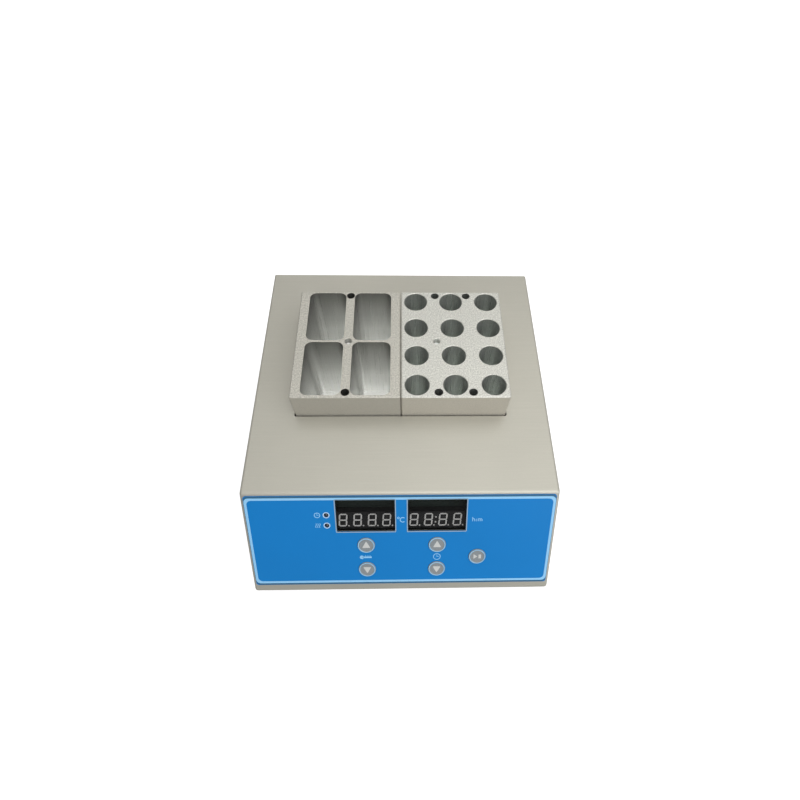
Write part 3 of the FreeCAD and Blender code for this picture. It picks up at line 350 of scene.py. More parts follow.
@dataclass(frozen=True)
class BlockFinish(Finish):
    """Blasted aluminium: a speckled top, satin outer faces, and cut walls in its holes with painted
    shade and reflection: darker at the rim, lighter with depth.
    """

    height_range: Flat = (0.3, 0.7)
    node: str = ""
    outer: Colour = (190, 186, 176)
    outer_grain: float = 0.25
    # Painted shade and reflection on the hole walls: the rim colour at the top, the floor colour at
    # full depth, lighter with depth.
    rim_painted_shade: Colour = (206, 209, 205)
    floor: Colour = (246, 250, 246)
    full_depth: float = 0.62
    wall_metallic: float = 0.85
    wall_roughness: float = 0.3
    wall_steps: float = 0.5
    bore_shade: Flat = (-0.3, -0.08)
    bore_reach: float = 0.8

    def bore(self, middle: Vector) -> tuple[Vector, float]:
        """Finds the block's narrow bores, which lie mirrored about its middle.

        Args:
            middle: the block's middle.
        Returns:
            How far a bore lies from the middle, and the reach of its walls round its axis.
        """
        boxes = (row["box_m"] for row in frame["record"]["physics"]["openings"]
                 if row["name"].startswith("probe_hole_" + self.node))
        low, high = next(boxes)
        away = (Vector(low) + Vector(high)) / 2 - middle
        return Vector(map(abs, away)), self.bore_reach * (high[0] - low[0])

    def zones(self, graph: Graph) -> Any:
        """Places the group that tells the block's zones apart and returns its outputs."""
        low, high = (Vector(corner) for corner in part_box(self.node))
        middle, half = (low + high) / 2, (high - low) / 2
        deep = self.full_depth * (high.z - low.z)
        return Effects.place(graph, "zones", middle, half, high.z, deep, *self.bore(middle))

    @cache
    def material(self) -> bpy.types.Material:
        """Builds the material once, with its own colour, gloss and marks for each zone."""
        material, graph, surface = self.start()
        zones = self.zones(graph)
        top, inside, depth = zones["Top Face"], zones["Inside"], zones["Depth"]
        (scale, speckle), (way, lines) = self.grain, self.lay
        grain = Effects.place(graph, "grain", scale, speckle)
        faint = Effects.place(graph, "grain", scale, speckle * self.outer_grain)
        cut = Effects.place(graph, "lay", way.value, lines)
        steps = Effects.place(graph, "lay", Lay.ROUND.value, lines * self.wall_steps)
        marks = Effects.place(graph, "handling", *self.handling)
        # Painted shade and reflection: the hole walls go from dark at the rim to light at depth.
        walls = graph.mixed(depth, linear(self.rim_painted_shade), linear(self.floor))
        # Painted shade: the walls of the narrow bores are darker, most near the rim.
        painted_bore_shade = graph.band(depth, 0.0, 1.0, *self.bore_shade)
        walls = graph.scaled(walls, graph.math("MULTIPLY_ADD", zones["Narrow"], painted_bore_shade, 1.0))
        walls = graph.scaled(walls, graph.math("MULTIPLY", cut["Shade"], steps["Shade"]))
        sides = graph.mixed(inside, graph.scaled(linear(self.outer), faint["Shade"]), walls)
        blasted = graph.scaled(linear(self.colour), grain["Shade"])
        colour = graph.scaled(graph.mixed(top, sides, blasted), marks["Shade"])
        within = graph.math("MULTIPLY", inside, graph.math("SUBTRACT", 1.0, top))
        height = graph.blended(within, grain["Height"], cut["Height"])
        rough = graph.band(within, 0.0, 1.0, self.roughness, self.wall_roughness)
        spread = graph.band(height, *self.height_range, -self.spread, self.spread)
        metal = graph.band(within, 0.0, 1.0, self.metallic, self.wall_metallic)
        graph.link(self.rubbed_and_highlit(graph, colour), surface["Base Color"])
        graph.link(graph.math("ADD", rough, spread), surface["Roughness"])
        graph.link(metal, surface["Metallic"])
        graph.link(self.raised(graph, height), surface["Normal"])
        return material


FILM_EDGE = Finish("overlay_dark_blue", (38, 90, 126), 0.40, grain=(2600, 0.06),
                   handling=(22, 0.10), spread=0.05, relief=0.01)
BORDER = replace(FILM_EDGE, name="print_pale_blue", colour=(134, 188, 226), handling=(22, 0.06))
PRINT = replace(FILM_EDGE, name="print_white", colour=(178, 208, 236), roughness=0.42,
                handling=(40, 0.05))
TRIM = replace(FILM_EDGE, name="window_trim_pale_grey", colour=(150, 172, 188), roughness=0.36,
               metallic=0.2, handling=(40, 0.08))
SEGMENT = Finish("display_segment_unlit", (232, 232, 230), 0.5, grain=(3000, 0.06))
KEY_RING = Finish("key_pale_ring", (140, 184, 214), 0.40, grain=(2600, 0.08))
KEY_SIGN = replace(KEY_RING, name="key_sign_pale", colour=(186, 188, 187), roughness=0.45)
TUBE_METAL = BlockFinish("tube_block_blasted", (191, 191, 184), 0.46, 0.45, "tube_block_metal",
                         (1000, 1.5), (Lay.UPRIGHT, 0.24), (25, 0.06), spread=0.08, relief=0.03,
                         wear_and_highlight=0.2, node="tube_block")
POCKET_METAL = replace(
    TUBE_METAL, name="pocket_block_blasted", colour=(178, 176, 167), slot="pocket_block_metal",
    lay=(Lay.UPRIGHT, 0.36), node="pocket_block", outer=(178, 175, 166), rim_painted_shade=(142, 142, 138),
    floor=(251, 252, 249), full_depth=0.56, wall_roughness=0.32)
THREAD = Finish("thread_cut", (178, 178, 173), 0.4, 0.4, grain=(1600, 0.2), lay=(Lay.ROUND, 0.15))
# Painted shadow: near-black plates on the screw heads, where the cross recesses would lie in shade.
RECESS_SHADOW = Finish("screw_recess_shadow", (22, 22, 22), 0.55, 0.4, grain=(1800, 0.2))
MARK = Finish("switch_mark_white", (226, 226, 222), 0.45, grain=(2600, 0.06))
FLOOR = Finish("studio_floor", (160, 160, 160), 0.75, grain=(300, 0.02), handling=(2, 0.01),
               spread=0.02, relief=0.0)

SLOT_FINISH: dict[str, Finish] = {finish.slot or finish.name: finish for finish in (
    Finish("case_satin_sheet", (175, 173, 163), 0.38, 0.55, "case_sheet", (1800, 0.10),
           (Lay.ACROSS, 0.18), (14, 0.12), spread=0.08, relief=0.01, wear_and_highlight=0.15),
    replace(FILM_EDGE, name="overlay_blue_film", colour=(3, 113, 183), roughness=0.42,
            slot="overlay_film", specular=0.3),
    Finish("smoked_window", (10, 10, 11), 0.10, grain=(900, 0.10), handling=(20, 0.2),
           spread=0.03, relief=0.0, alpha=0.22),
    Finish("display_face", (17, 18, 20), 0.5, grain=(2200, 0.15)),
    Finish("key_grey", (124, 130, 134), 0.45, 0.0, "key_cap", (1500, 0.5), handling=(90, 0.14),
           wear_and_highlight=0.25, edge_mark_width=0.3),
    Finish("lamp_dark_lens", (14, 16, 30), 0.14, 0.0, "lamp_lens", (1500, 0.2), coat=0.6),
    Finish("switch_plastic", (40, 40, 42), 0.5),
    Finish("board_dark_lacquer", (14, 34, 27), 0.42, 0.0, "board", (900, 0.25)),
    Finish("plated_steel", (176, 174, 166), 0.32, 0.9, grain=(1600, 0.12), lay=(Lay.ROUND, 0.1)),
    TUBE_METAL,
    POCKET_METAL,
    Finish("plain_aluminium", (182, 182, 178), 0.36, 0.9, grain=(1600, 0.12),
           lay=(Lay.ALONG, 0.14)),
    Finish("heater_mat_rubber", (150, 62, 30), 0.62, 0.0, "mat_rubber", (1400, 0.25)),
    Finish("insulation_fibre", (214, 206, 186), 0.85, 0.0, "fibre", (700, 0.35),
           (Lay.ALONG, 0.2), relief=0.1),
    Finish("transformer_core", (88, 86, 84), 0.5, 0.7, "core_steel", (1200, 0.2),
           (Lay.ACROSS, 0.3)),
    Finish("terminal_green", (40, 120, 70), 0.45, grain=(1500, 0.15)),
    Finish("inlet_black_moulding", (24, 24, 25), 0.46, 0.0, "inlet_black", (2400, 0.25),
           relief=0.03, wear_and_highlight=0.9),
    Finish("contact_brass", (196, 164, 96), 0.3, 0.95, grain=(1600, 0.12), lay=(Lay.ALONG, 0.12)),
    Finish("fuse_glass", (206, 216, 214), 0.1, grain=(900, 0.06), alpha=0.5),
    *(Finish("wire_" + name, colour, 0.45, grain=(1800, 0.12)) for name, colour in (
        ("brown", (96, 58, 36)), ("blue", (40, 84, 160)), ("green", (70, 140, 50)),
        ("white", (222, 220, 212)))),
    Finish("ribbon_grey", (160, 160, 160), 0.5, grain=(1200, 0.10), lay=(Lay.ALONG, 0.3)),
    Finish("foot_rubber", (30, 30, 30), 0.7, grain=(1800, 0.3), relief=0.05),
)}


def span(spots: Iterable[Sequence[float]]) -> tuple[Vector, Vector]:
    """Returns the lowest and the highest corner round a set of points."""
    sides = list(zip(*spots))
    return Vector(map(min, sides)), Vector(map(max, sides))


@dataclass
class FaceFrame:
    """A flat face that print lies on: which ways run across it, down it and out of it."""

    across: Vector
    down: Vector
    out: Vector

    def point(self, across: float, down: float, out: float) -> Vector:
        """Returns the world point at a place on the face."""
        return self.across * across + self.down * down + self.out * out

    def place(self, point: Vector) -> Triple:
        """Returns how far across, down and out a world point lies."""
        return point.dot(self.across), point.dot(self.down), point.dot(self.out)

    def reach(self, node: str, skin: Optional[float] = None) -> tuple[Vector, Vector]:
        """Measures a CAD node along the face's own directions.

        Args:
            node: the CAD node's name.
            skin: if given, only what lies this near to the node's outermost point is measured.
        Returns:
            Its lowest and highest across, down and out.
        """
        spots = [self.place(corner.co) for corner in frame["nodes"][node].data.vertices]
        if skin is not None:
            outermost = max(spot[2] for spot in spots)
            spots = [spot for spot in spots if spot[2] > outermost - skin]
        return span(spots)


class Relief:
    """Thin raised shapes on one face, each closed and set a hair into it, gathered in one mesh."""

    sink: float = 0.02 * MM

    def __init__(self, face: FaceFrame, base: float, lift: float) -> None:
        """Starts an empty relief.

        Args:
            face: the face that the shapes lie on.
            base: how far out that face is.
            lift: how far the shapes stand up from it.
        """
        self.face = face
        self.base = base - self.sink
        self.top = base + lift
        self.mesh = bmesh.new()

    def corners(self, loop: Iterable[Flat], out: float) -> Corners:
        """Adds a loop's corners at one height and returns them."""
        return [self.mesh.verts.new(self.face.point(*spot, out)) for spot in loop]

    def wall(self, low: Corners, high: Corners) -> None:
        """Joins two loops of one length with a closed band of faces."""
        for place, (one, two) in enumerate(zip(low, high)):
            self.mesh.faces.new((low[place - 1], one, two, high[place - 1]))

    def plate(self, loop: Sequence[Flat]) -> None:
        """Adds a filled shape with short side walls."""
        low, high = self.corners(loop, self.base), self.corners(loop, self.top)
        self.wall(low, high)
        self.mesh.faces.new(high)
        self.mesh.faces.new(low[::-1])

    def ring(self, outer: Sequence[Flat], inner: Sequence[Flat]) -> None:
        """Adds a band between two loops of one length, with side walls."""
        loops = [self.corners(loop, out) for loop, out in (
            (outer, self.base), (outer, self.top), (inner, self.top), (inner, self.base))]
        for place, loop in enumerate(loops):
            self.wall(loops[place - 1], loop)

    def stroke(self, path: Sequence[Flat], width: float) -> None:
        """Adds a line of even width along an open path."""
        left, right = [], []
        for place, (x, y) in enumerate(path):
            before = path[max(place - 1, 0)]
            after = path[min(place + 1, len(path) - 1)]
            run = Vector((after[0] - before[0], after[1] - before[1])).normalized() * width / 2
            left.append((x - run.y, y + run.x))
            right.append((x + run.y, y - run.x))
        rails = [self.corners(side, out) for side, out in (
            (left, self.base), (left, self.top), (right, self.top), (right, self.base))]
        slices = list(zip(*rails))
        for one, two in zip(slices, slices[1:]):
            self.wall(one, two)
        for end in (slices[0], slices[-1]):
            self.mesh.faces.new(end)

    def piece(self, name: str, finish: Finish, body: str = "case",
              slot: str = "overlay_film") -> None:
        """Turns the gathered shapes into one piece, as add_piece does."""
        add_piece(name, self.mesh, finish, body)


def add_object(name: str, data: bpy.types.ID) -> bpy.types.Object:
    """Adds an object to the scene and returns it."""
    made = bpy.data.objects.new(name, data)
    bpy.context.scene.collection.objects.link(made)
    return made


def add_piece(name: str, mesh: bmesh.types.BMesh, finish: Finish, body: str) -> None:
    """Makes an object of a closed mesh, dresses it and sets it on its body.

    Args:
        name: the piece's name.
        mesh: its shape, in world metres; freed here.
        finish: its finish.
        body: the CAD body that it rides on.
    """
    bmesh.ops.recalc_face_normals(mesh, faces=mesh.faces)
    data = bpy.data.meshes.new(name)
    mesh.to_mesh(data)
    mesh.free()
    data.materials.append(finish.material())
    made = add_object(name, data)
    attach(made, body)
    LOG.info("piece %s: %d faces, %s on %s", name, len(data.polygons), finish.name, body)


def around(centre: Sequence[float], radius: float, turns: Iterable[float]) -> Loop:
    """Returns the points at the given angles round a centre."""
    x, y = centre[:2]
    return [(x + radius * math.cos(turn), y + radius * math.sin(turn)) for turn in turns]


def circle(centre: Sequence[float], radius: float, count: int = 32) -> Loop:
    """Returns a circle's corners."""
    return around(centre, radius, (2 * math.pi * place / count for place in range(count)))


def arc(centre: Sequence[float], radius: float, start: float, end: float, count: int) -> Loop:
    """Returns the points of an arc between two angles in degrees."""
    step = (end - start) / (count - 1)
    return around(centre, radius, (math.radians(start + step * place) for place in range(count)))


def rounded(low: Flat, high: Flat, radius: float, count: int = 6) -> Loop:
    """Returns a rectangle's outline with rounded corners."""
    left, near, right, far = (low[0] + radius, low[1] + radius, high[0] - radius, high[1] - radius)
    bends = (((right, far), 0), ((left, far), 90), ((left, near), 180), ((right, near), 270))
    return [spot for centre, turn in bends for spot in arc(centre, radius, turn, turn + 90, count)]


def grown(low: Vector, high: Vector, across: float, down: float) -> tuple[Flat, Flat]:
    """Returns a rectangle's corners moved outwards, or inwards by less than nothing."""
    return (low.x - across, low.y - down), (high.x + across, high.y + down)


def moved(loop: Iterable[Flat], by: Vector) -> Loop:
    """Returns a loop moved to another place."""
    return [(by.x + across, by.y + down) for across, down in loop]


@dataclass
class PanelSigns:
    """Plain signs for heat, time and units, drawn on one relief."""

    relief: Relief
    line: float = 0.5 * MM
    round_count: int = 20
    dot_count: int = 12

    def thermometer(self, at: Vector) -> None:
        """Draws a small thermometer on its side, with tick marks."""
        stem, bulb, bore = 7.02 * MM, 1.485 * MM, 1.215 * MM
        near, far, thin = 0.7 * MM, 1.6 * MM, 0.4 * MM
        left = at.x - stem / 2
        self.relief.plate(circle((left, at.y), bulb, self.round_count))
        self.relief.stroke([(left, at.y), (left + stem, at.y)], bore)
        for share in (0.4, 0.62, 0.84):
            x = left + stem * share
            self.relief.stroke([(x, at.y - near), (x, at.y - far)], thin)

    def clock(self, at: Vector, radius: float) -> None:
        """Draws a clock face: a ring and two hands."""
        hour, minute, thin = 0.5 * radius, 0.62 * radius, 0.8 * self.line
        self.relief.ring(circle(at, radius), circle(at, radius - self.line))
        self.relief.stroke([(at.x, at.y - minute), (at.x, at.y), (at.x + hour, at.y)], thin)

    def waves(self, at: Vector) -> None:
        """Draws three rising heat waves."""
        gap, sway, rise, thick = 1.3 * MM, 0.35 * MM, 0.42 * MM, 0.42 * MM
        points, swing = 9, 0.8
        wave = [(sway * math.sin(step * swing), (step - points // 2) * rise)
                for step in range(points)]
        for shift in (-gap, 0.0, gap):
            self.relief.stroke(moved(wave, at + Vector((shift, 0.0))), thick)

    def degrees(self, at: Vector) -> None:
        """Draws the degree Celsius sign."""
        dot, wide, narrow = at - Vector((2.1 * MM, 1.5 * MM)), 0.85 * MM, 0.45 * MM
        bow, radius, mouth, thick = at + Vector((0.9 * MM, 0.0)), 1.8 * MM, 50, 0.6 * MM
        self.relief.ring(circle(dot, wide, self.round_count), circle(dot, narrow, self.round_count))
        self.relief.stroke(arc(bow, radius, mouth, 360 - mouth, self.round_count), thick)

    def hump(self, foot: Vector, wide: float, spring: float, shoulder: float) -> None:
        """Draws an arch from a stem over to its own foot.

        Args:
            foot: the stem's foot.
            wide: how far to the right the arch comes down.
            spring: the height at which its curve starts and ends.
            shoulder: the width of its right-hand curve.
        """
        lead, rise = 0.3 * MM, 1.9 * MM
        path = ((0.0, -spring), (lead, -rise), (wide - shoulder, -rise), (wide, -spring),
                (wide, 0.0))
        self.relief.stroke(moved(path, foot), self.line)

    def hours(self, at: Vector) -> None:
        """Draws the sign for hours and minutes."""
        first = at + Vector((0.0, 1.6 * MM))
        second, step = first + Vector((3.9 * MM, 0.0)), Vector((1.3 * MM, 0.0))
        for foot, tall in ((first, 3.2 * MM), (second, 2.0 * MM)):
            self.relief.stroke([(foot.x, foot.y - tall), (foot.x, foot.y)], self.line)
        self.hump(first, 1.5 * MM, 1.3 * MM, 0.4 * MM)
        for foot in (second, second + step):
            self.hump(foot, step.x, 1.4 * MM, 0.3 * MM)
        colon, radius = first.x + 2.7 * MM, 0.35 * MM
        for rise in (0.3 * MM, 1.5 * MM):
            self.relief.plate(circle((colon, first.y - rise), radius, self.dot_count))


@dataclass
class Digits:
    """The unlit seven-segment digits of one display."""

    relief: Relief
    middle: Vector
    count: int = 4
    size: Flat = (5.9 * MM, 10.0 * MM)
    pitch: float = 10.07 * MM
    shift: float = 0.8 * MM
    segment: float = 0.95 * MM
    segment_gap: float = 0.12 * MM
    lean: float = 0.08
    point_gap: float = 0.9 * MM
    point_radius: float = 0.55 * MM
    colon_rise: float = 2.0 * MM
    colon_radius: float = 0.6 * MM
    dot_count: int = 16

    def bar(self, start: Flat, end: Flat) -> Loop:
        """Returns one segment of a digit: a bar with pointed ends."""
        way = Vector((end[0] - start[0], end[1] - start[1])).normalized()
        slope = way * self.segment / 2
        side = Vector((-slope.y, slope.x))
        a, b = Vector(start) + way * self.segment_gap, Vector(end) - way * self.segment_gap
        spots = (a, a + slope + side, b - slope + side, b, b - slope - side, a + slope - side)
        return [tuple(spot) for spot in spots]

    def build(self, colon: bool) -> None:
        """Adds every segment and point, and if asked two dots between the middle digits."""
        x, y = (side / 2 - self.segment / 2 for side in self.size)
        ends = [((-x, level), (x, level)) for level in (-y, 0.0, y)]
        ends += [((side, low), (side, low + y)) for side in (-x, x) for low in (-y, 0.0)]
        half = self.pitch * (self.count - 1) / 2
        first = self.middle.x - half - self.shift
        for place in range(self.count):
            at = Vector((first + self.pitch * place, self.middle.y))
            for start, end in ends:
                bar = [(across - down * self.lean, down) for across, down in self.bar(start, end)]
                self.relief.plate(moved(bar, at))
            point = (at.x + self.size[0] / 2 + self.point_gap, at.y + y)
            self.relief.plate(circle(point, self.point_radius, self.dot_count))
        for rise in (-self.colon_rise, self.colon_rise) if colon else ():
            dot = (first + half - rise * self.lean, self.middle.y + rise)
            self.relief.plate(circle(dot, self.colon_radius, self.dot_count))


@dataclass
class ControlPanel:
    """The printed sloped front: borders, window trim, signs, key rings and digits."""

    print_lift: float = 0.06 * MM
    margins: Flat = (0.3 * MM, 1.5 * MM)
    edge_gap: float = 0.1 * MM
    border_width: float = 1.7 * MM
    border_radius: float = 3.2 * MM
    trim_width: float = 0.85 * MM
    trim_gap: float = 0.2 * MM
    skin: float = 0.5 * MM
    lamp_ring: Flat = (1.7 * MM, 2.28 * MM)
    lamp_sign_gap: float = 6.2 * MM
    lamp_clock: float = 2.1 * MM
    key_clock: float = 2.7 * MM
    unit_drop: float = 3.2 * MM
    unit_gap: float = 2.8 * MM
    key_ring: float = 0.6 * MM
    key_dish: float = 0.3 * MM
    key_count: int = 40
    face: FaceFrame = field(init=False)
    top: float = field(init=False)

    def __post_init__(self) -> None:
        """Reads the face's directions from a key's travel and its height from the overlay."""
        joints = frame["record"]["behaviour"]["joints"]
        travel = next(joint for joint in joints if joint["name"] == "start_key_press")
        out = -Vector(travel["axis"]).normalized()
        self.face = FaceFrame(Vector((1, 0, 0)), Vector((0, -out.z, out.y)), out)
        self.top = self.face.reach("panel_overlay")[1].z

    def relief(self, out: Optional[float] = None) -> Relief:
        """Starts a thin relief on the overlay, or at another height of the same face."""
        return Relief(self.face, self.top if out is None else out, self.print_lift)

    def centre(self, node: str) -> Vector:
        """Returns the middle of a node on the face."""
        low, high = self.face.reach(node)
        return ((low + high) / 2).xy

    def build(self) -> None:
        """Builds everything printed or mounted on the front."""
        self.build_border()
        self.build_trim()
        self.build_signs()
        for way, turn in (("up", -1.0), ("down", 1.0)):
            for row in ("temp", "time"):
                self.build_key(f"{row}_{way}_key", self.arrow(turn))
        self.build_key("start_key", *self.run_and_stop())
        for display, colon in (("temp", False), ("time", True)):
            node = display + "_display"
            lit = self.relief(self.face.reach(node)[1].z)
            Digits(lit, self.centre(node)).build(colon)
            lit.piece(display + "_digits", SEGMENT, slot="display_face")

    def build_border(self) -> None:
        """Adds the pale border line and the darker band outside it."""
        edge = self.face.reach("panel_overlay")
        side, level = self.margins
        insets = ((self.edge_gap, self.edge_gap), (side, level),
                  (side + self.border_width, level + self.border_width))
        outside, between, within = (
            rounded(*grown(*edge, -across, -down), self.border_radius) for across, down in insets)
        band, line = self.relief(), self.relief()
        band.ring(outside, between)
        band.piece("overlay_edge_band", FILM_EDGE)
        line.ring(between, within)
        line.piece("overlay_border_line", BORDER)

    def build_trim(self) -> None:
        """Adds the pale frame of each window and the ring of each lamp."""
        for node in ("temp_window", "time_window"):
            edge = self.face.reach(node, self.skin)
            wide, gap = self.trim_width, self.trim_gap
            trim = self.relief()
            trim.ring(rounded(*grown(*edge, wide, wide), wide),
                      rounded(*grown(*edge, gap, gap), gap * 2))
            trim.piece(node + "_trim", TRIM)
        rings, (narrow, wide) = self.relief(), self.lamp_ring
        for node in ("timing_lamp", "heating_lamp"):
            rings.ring(circle(self.centre(node), wide), circle(self.centre(node), narrow))
        rings.piece("lamp_rings", PRINT)

    def build_signs(self) -> None:
        """Adds plain signs: heat and time between the keys and by the lamps, and the units."""
        signs = PanelSigns(self.relief())
        heat, time = ((self.centre(row + "_up_key") + self.centre(row + "_down_key")) / 2
                      for row in ("temp", "time"))
        aside = Vector((self.lamp_sign_gap, 0.0))
        signs.thermometer(heat)
        signs.clock(time, self.key_clock)
        signs.clock(self.centre("timing_lamp") - aside, self.lamp_clock)
        signs.waves(self.centre("heating_lamp") - aside)
        level = self.centre("temp_window").y + self.unit_drop
        right = self.face.reach("time_window")[1].x + self.unit_gap
        signs.degrees(Vector((0.0, level)))
        signs.hours(Vector((right, level)))
        signs.relief.piece("panel_signs", BORDER)

    @staticmethod
    def arrow(way: float) -> Loop:
        """Returns an arrow head with blunt corners, pointing up for -1 and down for 1."""
        tip, half, back = 2.9 * MM, 2.7 * MM, 2.0 * MM
        blunt, inset, rise = 0.25 * MM, 0.3 * MM, 0.4 * MM
        right = [(blunt, way * tip), (half, way * (rise - back)), (half - inset, -way * back)]
        return right + [(-across, down) for across, down in reversed(right)]

    @staticmethod
    def run_and_stop() -> tuple[Loop, Loop]:
        """Returns the start key's sign: a run triangle and a stop bar."""
        tail, tip, half = -2.6 * MM, 0.2 * MM, 1.9 * MM
        left, right, rise = 1.0 * MM, 2.8 * MM, 1.6 * MM
        return ([(tail, -half), (tip, 0.0), (tail, half)],
                [(left, -rise), (right, -rise), (right, rise), (left, rise)])

    def build_key(self, node: str, *signs: Loop) -> None:
        """Adds a key's pale ring and its sign, which move with the key.

        Args:
            node: the key's CAD node, and its body.
            signs: the outlines of its sign, about the key's middle.
        """
        low, high = self.face.reach(node, self.print_lift)
        middle, radius = ((low + high) / 2).xy, (high.x - low.x) / 2
        ring, dish = self.relief(high.z), self.relief(high.z - self.key_dish)
        ring.ring(circle(middle, radius, self.key_count),
                  circle(middle, radius - self.key_ring, self.key_count))
        ring.piece(node + "_ring", KEY_RING, node, "key_cap")
        for sign in signs:
            dish.plate(moved(sign, middle))
        dish.piece(node + "_sign", KEY_SIGN, node, "key_cap")


@dataclass
class Fasteners:
    """Dark crosses on the screw heads that show: painted shadow in place of their cross recesses.
    """

    arm: float = 0.85 * MM
    thick: float = 0.34 * MM
    lift: float = 0.03 * MM
    join: float = 0.001 * MM
    level: float = 1.0 * MM

    def build(self) -> None:
        """Adds the painted recess shadows of the side, rear and inlet screws."""
        right, back, up = Matrix.Identity(3)
        rear = FaceFrame(-right, up, back)
        self.paint_recess_shadows("cover_screws", "cover_screw_recess_shadows_left", FaceFrame(-back, up, -right))
        self.paint_recess_shadows("cover_screws", "cover_screw_recess_shadows_right", FaceFrame(back, up, right))
        self.paint_recess_shadows("rear_screws", "rear_screw_recess_shadows", rear)
        self.paint_recess_shadows("inlet_screws", "inlet_screw_recess_shadows", rear)

    def heads(self, node: str, face: FaceFrame) -> list[Vector]:
        """Finds the outermost middle of each screw on one side.

        Args:
            node: the CAD node that holds the screws.
            face: the side that their heads are on.
        Returns:
            For each screw, its place across, down and out.
        """
        shape = bmesh.new()
        shape.from_mesh(frame["nodes"][node].data)
        bmesh.ops.remove_doubles(shape, verts=shape.verts, dist=self.join)
        left, found = set(shape.verts), []
        while left:
            stack = [min(left, key=lambda vert: vert.index)]
            island = set(stack)
            while stack:
                near = {vert for edge in stack.pop().link_edges for vert in edge.verts} - island
                island |= near
                stack.extend(near)
            left -= island
            low, high = span(face.place(vert.co) for vert in island)
            found.append(Vector((*((low + high) / 2).xy, high.z)))
        shape.free()
        reach = max(spot.z for spot in found)
        return [spot for spot in found if spot.z > reach - self.level]

    def paint_recess_shadows(self, node: str, name: str, face: FaceFrame) -> None:
        """Adds one dark cross of painted recess shadow on each head of a node on one side."""
        heads, a, t = self.heads(node, face), self.arm, self.thick
        cross = ((t, a), (t, t), (a, t), (a, -t), (t, -t), (t, -a), (-t, -a), (-t, -t), (-a, -t),
                 (-a, t), (-t, t), (-t, a))
        crosses = Relief(face, heads[0].z, self.lift)
        for head in heads:
            crosses.plate(moved(cross, head))
        crosses.piece(name, RECESS_SHADOW, slot="plated_steel")


@dataclass
class PowerEntry:
    """The marks on the rocker switch at the back."""

    mark: float = 1.7 * MM
    line: float = 0.6 * MM
    lift: float = 0.05 * MM
    facing: float = 0.6
    flatness: float = 0.999

    def build(self) -> None:
        """Adds the on line and the off ring, each on its own slope, to tilt with the rocker."""
        face, spot = self.slope(1.0)
        line = Relief(face, spot.z, self.lift)
        line.stroke([(spot.x, spot.y - self.mark), (spot.x, spot.y + self.mark)], self.line)
        line.piece("rocker_on_mark", MARK, "rocker", "inlet_black")
        face, spot = self.slope(-1.0)
        ring = Relief(face, spot.z, self.lift)
        ring.ring(circle(spot, self.mark), circle(spot, self.mark - self.line))
        ring.piece("rocker_off_mark", MARK, "rocker", "inlet_black")

    def slope(self, way: float) -> tuple[FaceFrame, Vector]:
        """Finds one of the rocker's two flat slopes.

        Args:
            way: 1 for the upper slope, -1 for the lower.
        Returns:
            The slope's directions, and its middle across, down and out.
        """
        low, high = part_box("rocker")
        level = (low[2] + high[2]) / 2
        outer = [part for part in frame["nodes"]["rocker"].data.polygons
                 if part.normal.y > self.facing and way * (part.center.z - level) > 0]
        out = max(outer, key=lambda part: part.area).normal.copy()
        flat = [part for part in outer if part.normal.dot(out) > self.flatness]
        area = sum(part.area for part in flat)
        middle = sum((part.center * (part.area / area) for part in flat), Vector())
        face = FaceFrame(Vector((-1, 0, 0)), Vector((0, out.z, -out.y)), out)
        return face, Vector(face.place(middle))


@dataclass
class LiftingThreads:
    """The thread turns in the blocks' lifting holes."""

    pitch: float = 1.0 * MM
    ridge: float = 0.25 * MM
    crest: float = 0.45 * MM
    root: float = 0.9 * MM
    sink: float = 0.03 * MM
    steps: int = 28

    def build(self) -> None:
        """Adds the thread of each block."""
        for mount in frame["record"]["mounts"]:
            if mount["kind"] == "threaded_hole":
                block = mount["name"].removesuffix("_lifting_thread")
                self.thread(block, Vector(mount["pos_m"]), mount["dims"])

    def thread(self, block: str, middle: Vector, dims: dict[str, float]) -> None:
        """Winds one ridge up a hole's wall.

        Args:
            block: the block's node, and its body.
            middle: the middle of the threaded length.
            dims: the hole's radius and threaded length in millimetres.
        """
        radius, length = dims["r_mm"] * MM, dims["length_mm"] * MM
        count = int((length - self.pitch) / self.pitch * self.steps)
        mesh, rows = bmesh.new(), []
        for place in range(count + 1):
            turns = place / self.steps
            angle = 2 * math.pi * turns
            foot = middle.z - length / 2 + self.pitch * turns
            fade = min(1.0, turns, (count - place) / self.steps)
            spots = ((radius + self.sink, foot), (radius - self.ridge * fade, foot + self.crest),
                     (radius + self.sink, foot + self.root))
            rows.append([mesh.verts.new((middle.x + out * math.cos(angle),
                                         middle.y + out * math.sin(angle), rise))
                         for out, rise in spots])
        for first, second in zip(rows, rows[1:]):
            for low, high in ((0, 1), (1, 2), (2, 0)):
                mesh.faces.new((first[low], second[low], second[high], first[high]))
        for end in (rows[0], rows[-1]):
            mesh.faces.new(end)
        add_piece(block + "_thread", mesh, THREAD, block)


@dataclass
class Casework:
    """The CAD nodes themselves: each gets the finish of its material slot."""

    def build(self) -> None:
        """Assigns a material to every CAD node."""
        for row in frame["record"]["subparts"]:
            shape = frame["nodes"][row["node"]]
            finish = SLOT_FINISH[row["material_slot"]]
            shape.data.materials.clear()
            shape.data.materials.append(finish.material())
            LOG.info("node %s: %s", row["node"], finish.name)


@dataclass(frozen=True)
class SoftLight:
    """One soft square light: where it hangs, its width, its power in watts and its colour."""

    name: str
    place: Triple
    size: float
    power: float
    colour: Colour = (1.0, 1.0, 1.0)

    def hang(self, aim: Vector) -> None:
        """Adds the light, turned to face a point."""
        data = bpy.data.lights.new(self.name, "AREA")
        data.size, data.energy, data.color = self.size, self.power, self.colour
        light = add_object(self.name, data)
        light.location = self.place
        light.rotation_euler = (aim - light.location).to_track_quat("-Z", "Y").to_euler()


